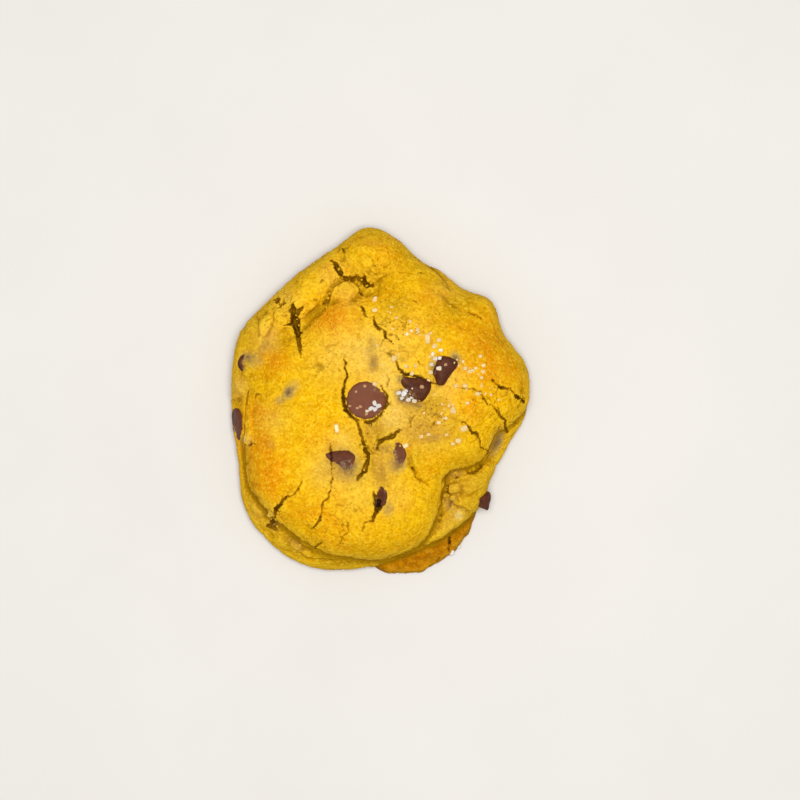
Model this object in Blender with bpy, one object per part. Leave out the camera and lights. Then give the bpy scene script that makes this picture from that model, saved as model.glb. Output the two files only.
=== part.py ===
"""A large bakery-style chocolate chip cookie, about 100 mm across, 117 mm long and 30 mm thick.

The dough is one solid. In plan it is a slack round with a lobe at its far end (+Y). A domed crown lies on a
wider body, a few lobes of dough lean against the crown, and a thin foot of spread dough runs out at the near
right. Deep clefts part the lobes. Nine chocolate chips sit in pockets of the dough, each as a solid of its own.

All dimensions are in millimetres and all bearings in degrees, counted from +X towards +Y. The origin is the
middle of the flat underside.
"""

import math

import bpy
import numpy as np
from mathutils import Matrix, Vector

MM = 0.001

# Driving dimensions.
CROWN_TOP = 26.0          # height of the crown before its own relief
CEILING = 32.0            # height that the rounded outer edge tends to
EDGE_HEIGHT = 5.0         # height of the widest line of the body
EDGE_ROUND = 23.0         # how far in from the outline the outer edge is rounded
CROWN_FOOT = 8.0          # height at which the crown's flank would reach its own outline
CROWN_ROUND = 25.0        # how far in from its own outline the crown is rounded
CROWN_POWER = 2.5         # 2 makes the crown's flank a plain round, and more makes it steeper at its foot
WALL_SPREAD = 7.5         # how far in the body's leaning wall runs
TUCK = 0.6                # inward curl of the underside's edge, as a share of the edge's height
FOOT_THICKNESS = 2.8      # the thin foot of spread dough
FOOT_EDGE = 1.4
FOOT_ROUND = 1.5
FOOT_FILLET = 2.2         # how far the body's edge slopes out onto the foot
BLEND = 2.2               # how softly two lobes run into each other
SHOULDER_ROUND = 6.0      # how softly the lobes run over into the rounded outer edge
POCKET_GAP = 0.3          # space between a chip and the dough

# Mesh density of the dough.
BEARINGS = 240
RINGS = 72
UNDERSIDE_STEPS = 5
DOUGH_FACES = 4800        # triangles left on the dough before its pockets are cut

# Outlines about the origin, as (bearing, radius).
BODY_OUTLINE = (
    (0, 49.6), (11, 50.3), (31, 47.2), (43, 50.0), (53, 46.8), (66, 48.3), (77, 50.0), (84, 54.6), (93, 58.4),
    (106, 53.8), (122, 51.0), (141, 50.6), (150, 52.1), (177, 50.0), (205, 52.2), (218, 57.6), (230, 59.8),
    (247, 60.0), (260, 57.0), (273, 53.0), (300, 49.3), (315, 48.0), (325, 45.0), (340, 44.9),
)
CROWN_OUTLINE = (
    (0, 49.6), (11, 50.3), (24, 48.3), (40, 43.2), (52, 41.8), (66, 46.8), (76, 48.3), (84, 42.4), (95, 38.8),
    (106, 41.8), (125, 38.0), (140, 37.4), (153, 41.3), (180, 44.3), (200, 47.8), (213, 52.4), (237, 53.3),
    (255, 53.5), (281, 51.0), (290, 48.4), (300, 41.2), (313, 34.3), (328, 39.3), (344, 40.8), (354, 47.0),
)
FOOT_OUTLINE = (
    (0, 36.0), (180, 38.0), (250, 47.0), (262, 53.0), (270, 56.9), (281, 59.2), (295, 56.6), (302, 54.4),
    (312, 48.6), (320, 42.0),
)

# Height of the body where its wall meets the crown, as (bearing, height).
BODY_LEVEL = ((0, 15), (60, 19), (120, 19), (165, 17), (190, 14), (215, 12), (270, 11), (300, 10), (340, 13))

# Lobes of dough beside the crown: centre, half-axes, bearing of the long axis, height of the top.
LOBES = {
    "north": ((0.0, 49.5), (17.0, 14.0), 0, 24.0),
    "north_west": ((-29.0, 36.5), (26.0, 13.5), 41, 23.0),
    "west": ((-45.0, 17.0), (17.0, 9.5), 68, 19.0),
    "wedge": ((-11.5, 36.0), (9.0, 6.5), 15, 22.5),
    "north_east": ((31.5, 31.0), (14.0, 11.0), -38, 19.5),
    "south_east": ((30.0, -28.0), (11.0, 9.5), 40, 14.5),
    "south_east_roll": ((23.0, -39.0), (13.0, 6.5), 42, 12.0),
}
LOBE_FOOT = 6.0           # height at which a lobe's flank would reach its own outline

# Broad swellings and hollows of the crown: centre, spread, height.
RELIEF = (
    ((-5.0, 0.0), 38.0, 3.2),
    ((-30.0, 2.0), 11.0, 0.9),
    ((-13.0, 27.0), 6.5, 2.0),
    ((-35.0, 14.0), 6.0, 1.6),
    ((-38.0, -18.0), 7.0, 1.6),
    ((-26.0, -32.0), 7.0, 0.8),
    ((33.0, 17.0), 10.0, 2.2),
    ((10.0, 27.0), 8.0, 1.3),
    ((34.0, -2.0), 6.0, 1.5),
    ((23.0, -18.0), 6.5, 3.0),
    ((4.0, -42.0), 9.0, 1.4),
    ((14.5, -7.5), 5.5, -2.6),
    ((1.5, -19.0), 5.0, -1.8),
    ((11.0, 5.0), 5.0, -1.2),
    ((-8.0, 12.0), 7.0, -0.7),
    ((-16.0, -14.0), 7.0, -0.6),
    ((25.0, 32.0), 4.5, -2.2),
)

# Open clefts as lines of (x, y, half-width, depth).
CLEFTS = (
    ((-29.5, 32.5, 1.2, 2.0), (-28.0, 27.5, 2.0, 5.0), (-28.3, 25.0, 2.2, 5.5), (-27.0, 20.5, 1.5, 4.0),
     (-26.0, 15.5, 0.9, 1.5)),
    ((-16.5, 47.0, 0.9, 1.5), (-13.5, 43.5, 1.8, 4.0), (-11.0, 41.0, 1.5, 4.0), (-4.5, 38.6, 1.9, 4.5),
     (2.0, 40.5, 1.2, 2.0)),
    ((-5.5, -9.0, 0.9, 1.5), (-4.5, -15.0, 1.6, 3.5), (-4.8, -21.5, 1.6, 3.5), (-7.5, -25.5, 0.9, 1.5)),
)

# Chips: where the base disc's centre lies in plan, its radius, the chip's length, how far below the dough's
# surface the disc's centre is, and the bearing and slope at which the tip points.
CHIPS = {
    "chip_centre": ((-4.8, 0.6), 6.2, 7.0, -0.5, 200, -84),
    "chip_tumbled": ((14.8, 3.5), 4.2, 8.6, 2.7, 154, 20),
    "chip_east": ((22.1, 13.6), 4.4, 8.4, 2.9, 255, 18),
    "chip_south_west": ((-9.8, -19.3), 4.3, 9.0, 3.3, 166, 22),
    "chip_crescent": ((4.3, -17.0), 4.2, 5.5, 0.3, 18, -67),
    "chip_cleft": ((-1.2, -31.0), 3.6, 5.5, 0.5, 8, -66),
    "chip_west_side": ((-48.2, -7.4), 5.4, 6.5, 0.0, 8, -18),
    "chip_south_east_side": ((33.4, -31.2), 3.2, 5.3, 0.0, 294, -14),
    "chip_west_small": ((-45.0, 13.0), 2.8, 4.5, -0.4, 350, -55),
}
SIDE_CHIP_HEIGHTS = {"chip_west_side": 9.4, "chip_south_east_side": 10.0}

# A chip's outline from the edge of its base to its tip, as shares of (radius, length).
CHIP_PROFILE = (
    (0.90, 0.00), (0.99, 0.05), (1.00, 0.14), (0.93, 0.28), (0.78, 0.45), (0.58, 0.62), (0.36, 0.79), (0.15, 0.93),
)
CHIP_SEGMENTS = 16


def radius_at(outline, bearings):
    """The radius at each bearing of the smooth closed curve through an outline's points."""
    known, radii = np.array(outline, dtype=float).T
    known = np.concatenate((known[-2:] - 360, known, known[:2] + 360))
    radii = np.concatenate((radii[-2:], radii, radii[:2]))
    slopes = np.gradient(radii, known)
    bearings = np.mod(bearings, 360)
    i = np.searchsorted(known, bearings, side="right") - 1
    gap = known[i + 1] - known[i]
    share = (bearings - known[i]) / gap
    eased = share * share * (3 - 2 * share)
    leave = share * (1 - share) ** 2 * gap * slopes[i]
    arrive = share * share * (share - 1) * gap * slopes[i + 1]
    return radii[i] + (radii[i + 1] - radii[i]) * eased + leave + arrive


def closed_curve(outline):
    """An outline as a ring of points in plan."""
    bearings = np.arange(0, 360, 3.0)
    radii = radius_at(outline, bearings)
    angles = np.radians(bearings)
    return np.column_stack((radii * np.cos(angles), radii * np.sin(angles)))


def distance_to_line(points, start, end):
    """Each point's distance to a segment, and how far along the segment its nearest point lies, from 0 to 1."""
    along = end - start
    share = np.clip((points - start) @ along / max(along @ along, 1e-9), 0, 1)
    nearest = start + share[:, None] * along
    return np.linalg.norm(points - nearest, axis=1), share


def depth_inside(points, outline):
    """How far each point lies inside an outline. It is negative outside."""
    ring = closed_curve(outline)
    distance = np.full(len(points), np.inf)
    for start, end in zip(ring, np.roll(ring, -1, axis=0)):
        distance = np.minimum(distance, distance_to_line(points, start, end)[0])
    bearings = np.degrees(np.arctan2(points[:, 1], points[:, 0]))
    inside = np.linalg.norm(points, axis=1) <= radius_at(outline, bearings)
    return np.where(inside, distance, -distance)


def round_edge(depth, width, power):
    """Rises from 0 at an edge to 1 at `width` inside it, as a superellipse does."""
    share = np.clip(depth / width, 0, 1)
    return (1 - (1 - share) ** power) ** (1 / power)


def smooth_max(a, b, blend=BLEND):
    """The larger of two heights, with a fillet where they cross."""
    near = np.maximum(blend - np.abs(a - b), 0) / blend
    return np.maximum(a, b) + near * near * blend / 4


def smooth_min(a, b, blend):
    """The smaller of two heights, with a round where they cross. It never exceeds the smaller one."""
    return -smooth_max(-a, -b, blend)


def lobe_height(points, centre, half_axes, bearing, top):
    """The height of one rounded lobe. Outside the lobe it is zero."""
    angle = math.radians(bearing)
    offset = points - np.array(centre)
    along = offset @ np.array((math.cos(angle), math.sin(angle)))
    across = offset @ np.array((-math.sin(angle), math.cos(angle)))
    reach = np.sqrt((along / half_axes[0]) ** 2 + (across / half_axes[1]) ** 2)
    depth = (1 - reach) * half_axes[1]
    height = LOBE_FOOT + (top - LOBE_FOOT) * round_edge(depth, 0.8 * half_axes[1], 2.0)
    return np.where(reach < 1, height, 0)


def cleft_depth(points, line):
    """How deep one cleft cuts at each point: V-shaped across, and fading towards both ends."""
    line = np.array(line)
    deepest = np.zeros(len(points))
    for start, end in zip(line[:-1], line[1:]):
        distance, share = distance_to_line(points, start[:2], end[:2])
        half_width = start[2] + share * (end[2] - start[2])
        depth = start[3] + share * (end[3] - start[3])
        deepest = np.maximum(deepest, depth * np.clip(1 - distance / half_width, 0, 1))
    return deepest


def crown_height(points):
    """The height of the domed crown with its swellings and hollows."""
    rise = round_edge(depth_inside(points, CROWN_OUTLINE), CROWN_ROUND, CROWN_POWER)
    relief = np.zeros(len(points))
    for centre, spread, height in RELIEF:
        distance = np.linalg.norm(points - np.array(centre), axis=1)
        relief += height * np.exp(-((distance / spread) ** 2))
    return np.where(rise > 0, CROWN_FOOT + (CROWN_TOP - CROWN_FOOT + relief) * rise, 0)


def dough_height(points):
    """The height of the dough's upper surface over each point of the plan."""
    bearings = np.degrees(np.arctan2(points[:, 1], points[:, 0]))
    inset = depth_inside(points, BODY_OUTLINE)
    level = radius_at(BODY_LEVEL, bearings)
    height = EDGE_HEIGHT + (level - EDGE_HEIGHT) * round_edge(inset, WALL_SPREAD, 1.4)
    height = smooth_max(height, crown_height(points))
    for lobe in LOBES.values():
        height = smooth_max(height, lobe_height(points, *lobe))
    for line in CLEFTS:
        height = height - cleft_depth(points, line)
    limit = EDGE_HEIGHT + (CEILING - EDGE_HEIGHT) * round_edge(inset, EDGE_ROUND, 2.0)
    fillet = EDGE_HEIGHT * np.clip(1 + inset / FOOT_FILLET, 0, 1)
    body = np.where(inset > 0, smooth_min(height, limit, SHOULDER_ROUND), fillet)
    spread = depth_inside(points, FOOT_OUTLINE)
    foot = FOOT_EDGE + (FOOT_THICKNESS - FOOT_EDGE) * round_edge(spread, FOOT_ROUND, 2.0)
    return np.maximum(body, np.where(spread > -0.01, foot, 0))


def new_object(name, vertices, faces, material):
    """Makes an object from points in millimetres. It is shaded smooth, but for edges over 35 degrees."""
    mesh = bpy.data.meshes.new(name)
    mesh.from_pydata([tuple(v) for v in np.asarray(vertices) * MM], [], faces)
    mesh.materials.append(material)
    mesh.shade_smooth()
    mesh.set_sharp_from_angle(angle=math.radians(35))
    made = bpy.data.objects.new(name, mesh)
    bpy.context.collection.objects.link(made)
    return made


def loft(rings, start_point=None):
    """Faces over rings of equal length, each ring joined to the next, with the last ring closed by one face.

    The first ring is closed by a fan from `start_point`, or by one face if there is none."""
    count = len(rings[0])
    vertices = np.concatenate(rings)
    faces = []
    for ring in range(len(rings) - 1):
        for i in range(count):
            a = ring * count + i
            b = ring * count + (i + 1) % count
            faces.append((a, a + count, b + count, b))
    last = (len(rings) - 1) * count
    faces.append(tuple(last + i for i in reversed(range(count))))
    if start_point is None:
        faces.append(tuple(range(count)))
    else:
        vertices = np.concatenate((vertices, [start_point]))
        centre = len(vertices) - 1
        faces += [(centre, i, (i + 1) % count) for i in range(count)]
    return vertices, faces


def dough_rings():
    """The dough's upper surface from the middle to the outline, then its edge down to the flat underside."""
    bearings = np.arange(BEARINGS) * 360 / BEARINGS
    outer = np.maximum(radius_at(BODY_OUTLINE, bearings), radius_at(FOOT_OUTLINE, bearings))
    angles = np.radians(bearings)
    directions = np.column_stack((np.cos(angles), np.sin(angles)))
    rings = []
    for step in range(1, RINGS + 1):
        plan = directions * (outer * step / RINGS)[:, None]
        rings.append(np.column_stack((plan, dough_height(plan * 0.9995))))
    edge_height = rings[-1][:, 2]
    for step in range(1, UNDERSIDE_STEPS + 1):
        turn = math.pi / 2 * step / UNDERSIDE_STEPS
        radii = outer - TUCK * edge_height * (1 - math.cos(turn))
        heights = edge_height * (1 - math.sin(turn)) if step < UNDERSIDE_STEPS else 0 * edge_height
        rings.append(np.column_stack((directions * radii[:, None], heights)))
    return rings


def build_dough(material):
    """The dough as one closed solid, thinned to an even number of faces."""
    middle = np.array([[0.0, 0.0]])
    start_point = (0.0, 0.0, float(dough_height(middle)[0]))
    vertices, faces = loft(dough_rings(), start_point)
    dough = new_object("dough", vertices, faces, material)
    thin = dough.modifiers.new("thin", "DECIMATE")
    thin.ratio = DOUGH_FACES / sum(len(face) - 2 for face in faces)
    return dough


def chip_frame(name):
    """The matrix that carries a chip from the origin, with its tip up, to its place in the dough."""
    (x, y), _, _, sink, bearing, slope = CHIPS[name]
    height = SIDE_CHIP_HEIGHTS.get(name)
    if height is None:
        height = float(dough_height(np.array([[x, y]]))[0])
    azimuth, rise = math.radians(bearing), math.radians(slope)
    tip = Vector((math.cos(azimuth) * math.cos(rise), math.sin(azimuth) * math.cos(rise), math.sin(rise)))
    turn = tip.to_track_quat("Z", "Y").to_matrix().to_4x4()
    return Matrix.Translation(Vector((x, y, height - sink)) * MM) @ turn


def build_chip(name, material, grow=0.0):
    """A teardrop chip with a flat base. `grow` makes it larger all round, as its pocket is."""
    _, radius, length, _, _, _ = CHIPS[name]
    angles = np.arange(CHIP_SEGMENTS) * 2 * math.pi / CHIP_SEGMENTS
    circle = np.column_stack((np.cos(angles), np.sin(angles)))
    rings = []
    for radial, axial in reversed(CHIP_PROFILE):
        height = axial * length + grow * (2 * axial - 1)
        ring_radius = radial * radius + grow
        rings.append(np.column_stack((circle * ring_radius, np.full(CHIP_SEGMENTS, height))))
    vertices, faces = loft(rings, (0.0, 0.0, length + grow))
    chip = new_object(name, vertices, faces, material)
    chip.matrix_world = chip_frame(name)
    return chip


def cut_pocket(dough, name):
    """Cuts the pocket of one chip out of the dough."""
    cutter = build_chip(name, dough.data.materials[0], POCKET_GAP)
    cutter.name = name + "_pocket"
    cutter.hide_render = True
    cutter.display_type = "WIRE"
    cut = dough.modifiers.new("cut_" + name, "BOOLEAN")
    cut.operation = "DIFFERENCE"
    cut.object = cutter


def make_material(name, colour, roughness):
    """A plain Principled material."""
    material = bpy.data.materials.new(name)
    material.use_nodes = True
    shader = material.node_tree.nodes["Principled BSDF"]
    shader.inputs["Base Color"].default_value = (*colour, 1.0)
    shader.inputs["Roughness"].default_value = roughness
    shader.inputs["Metallic"].default_value = 0.0
    material.diffuse_color = (*colour, 1.0)
    return material


def main():
    for old in list(bpy.data.objects):
        bpy.data.objects.remove(old)
    golden_crumb = make_material("golden_crumb", (0.80, 0.46, 0.04), 0.75)
    chocolate = make_material("chocolate", (0.16, 0.065, 0.035), 0.4)
    dough = build_dough(golden_crumb)
    for name in CHIPS:
        build_chip(name, chocolate)
        cut_pocket(dough, name)


main()
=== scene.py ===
"""The looks of a thick bakery-style chocolate chip cookie: cracked golden dough, chocolate chips and coarse salt.

Lengths are in millimetres and bearings in degrees from +X towards +Y, unless a comment says otherwise. The frame's
own unit is the metre, so points are scaled by MM where they become a mesh.
"""

import math
import random

import bmesh
import bpy
import numpy as np
from mathutils import Matrix, Vector
from mathutils.bvhtree import BVHTree


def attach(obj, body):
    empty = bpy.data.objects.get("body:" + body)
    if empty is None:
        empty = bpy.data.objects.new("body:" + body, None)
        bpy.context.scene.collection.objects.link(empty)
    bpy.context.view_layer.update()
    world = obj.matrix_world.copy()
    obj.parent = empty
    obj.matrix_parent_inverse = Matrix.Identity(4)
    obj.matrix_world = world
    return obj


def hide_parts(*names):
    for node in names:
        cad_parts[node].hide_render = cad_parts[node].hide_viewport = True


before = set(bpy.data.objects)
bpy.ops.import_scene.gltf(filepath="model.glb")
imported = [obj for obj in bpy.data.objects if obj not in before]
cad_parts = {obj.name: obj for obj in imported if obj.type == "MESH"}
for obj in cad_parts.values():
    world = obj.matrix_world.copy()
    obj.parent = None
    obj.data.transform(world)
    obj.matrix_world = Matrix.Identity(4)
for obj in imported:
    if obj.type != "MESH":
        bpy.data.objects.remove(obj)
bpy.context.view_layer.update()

MM = 0.001

# ---------------------------------------------------------------------------------------------------------------
# The dough's main form. It repeats the solids' own named sizes.
# ---------------------------------------------------------------------------------------------------------------
CROWN_TOP = 26.0
CEILING = 32.0
EDGE_HEIGHT = 5.0
EDGE_ROUND = 23.0
CROWN_FOOT = 8.0
CROWN_ROUND = 25.0
CROWN_POWER = 2.5
WALL_SPREAD = 7.5
TUCK = 0.6
FOOT_THICKNESS = 2.8
FOOT_EDGE = 1.4
FOOT_ROUND = 1.5
FOOT_FILLET = 2.2
BLEND = 2.2
SOFT_BLEND = 7.0
SHOULDER_ROUND = 6.0
LOBE_FOOT = 6.0

BODY_OUTLINE = (
    (0, 49.6), (11, 50.3), (31, 47.2), (43, 50.0), (53, 46.8), (66, 48.3), (77, 50.0), (84, 54.6), (93, 58.4),
    (106, 53.8), (122, 51.0), (141, 50.6), (150, 52.1), (177, 50.0), (205, 52.2), (218, 57.6), (230, 59.8),
    (247, 60.0), (260, 57.0), (273, 53.0), (300, 49.3), (315, 48.0), (325, 45.0), (340, 44.9),
)
CROWN_OUTLINE = (
    (0, 49.6), (11, 50.3), (24, 48.3), (40, 43.2), (52, 41.8), (66, 46.8), (76, 48.3), (84, 42.4), (95, 38.8),
    (106, 41.8), (125, 38.0), (140, 37.4), (153, 41.3), (180, 44.3), (200, 47.8), (213, 52.4), (237, 53.3),
    (255, 53.5), (281, 51.0), (290, 48.4), (300, 41.2), (313, 34.3), (328, 39.3), (344, 40.8), (354, 47.0),
)
FOOT_OUTLINE = (
    (0, 36.0), (180, 38.0), (250, 47.0), (262, 53.0), (270, 56.9), (281, 59.2), (295, 56.6), (302, 54.4),
    (312, 48.6), (320, 42.0),
)
BODY_LEVEL = ((0, 15), (60, 19), (120, 19), (165, 17), (190, 14), (215, 12), (270, 11), (300, 10), (340, 13))
LOBES = {
    "north": ((0.0, 49.5), (17.0, 14.0), 0, 24.0),
    "north_west": ((-29.0, 36.5), (26.0, 13.5), 41, 23.0),
    "west": ((-45.0, 17.0), (17.0, 9.5), 68, 19.0),
    "wedge": ((-11.5, 36.0), (9.0, 6.5), 15, 22.5),
    "north_east": ((31.5, 31.0), (14.0, 11.0), -38, 19.5),
    "south_east": ((30.0, -28.0), (11.0, 9.5), 40, 14.5),
    "south_east_roll": ((23.0, -39.0), (13.0, 6.5), 42, 12.0),
}
RELIEF = (
    ((-5.0, 0.0), 38.0, 3.2),
    ((-30.0, 2.0), 11.0, 0.9),
    ((-13.0, 27.0), 6.5, 2.0),
    ((-35.0, 14.0), 6.0, 1.6),
    ((-38.0, -18.0), 7.0, 1.6),
    ((-26.0, -32.0), 7.0, 0.8),
    ((33.0, 17.0), 10.0, 2.2),
    ((10.0, 27.0), 8.0, 1.3),
    ((34.0, -2.0), 6.0, 1.5),
    ((23.0, -18.0), 6.5, 3.0),
    ((4.0, -42.0), 9.0, 1.4),
    ((14.5, -7.5), 5.5, -2.6),
    ((1.5, -19.0), 5.0, -1.8),
    ((11.0, 5.0), 5.0, -1.2),
    ((-8.0, 12.0), 7.0, -0.7),
    ((-16.0, -14.0), 7.0, -0.6),
    ((25.0, 32.0), 4.5, -2.2),
)

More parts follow.
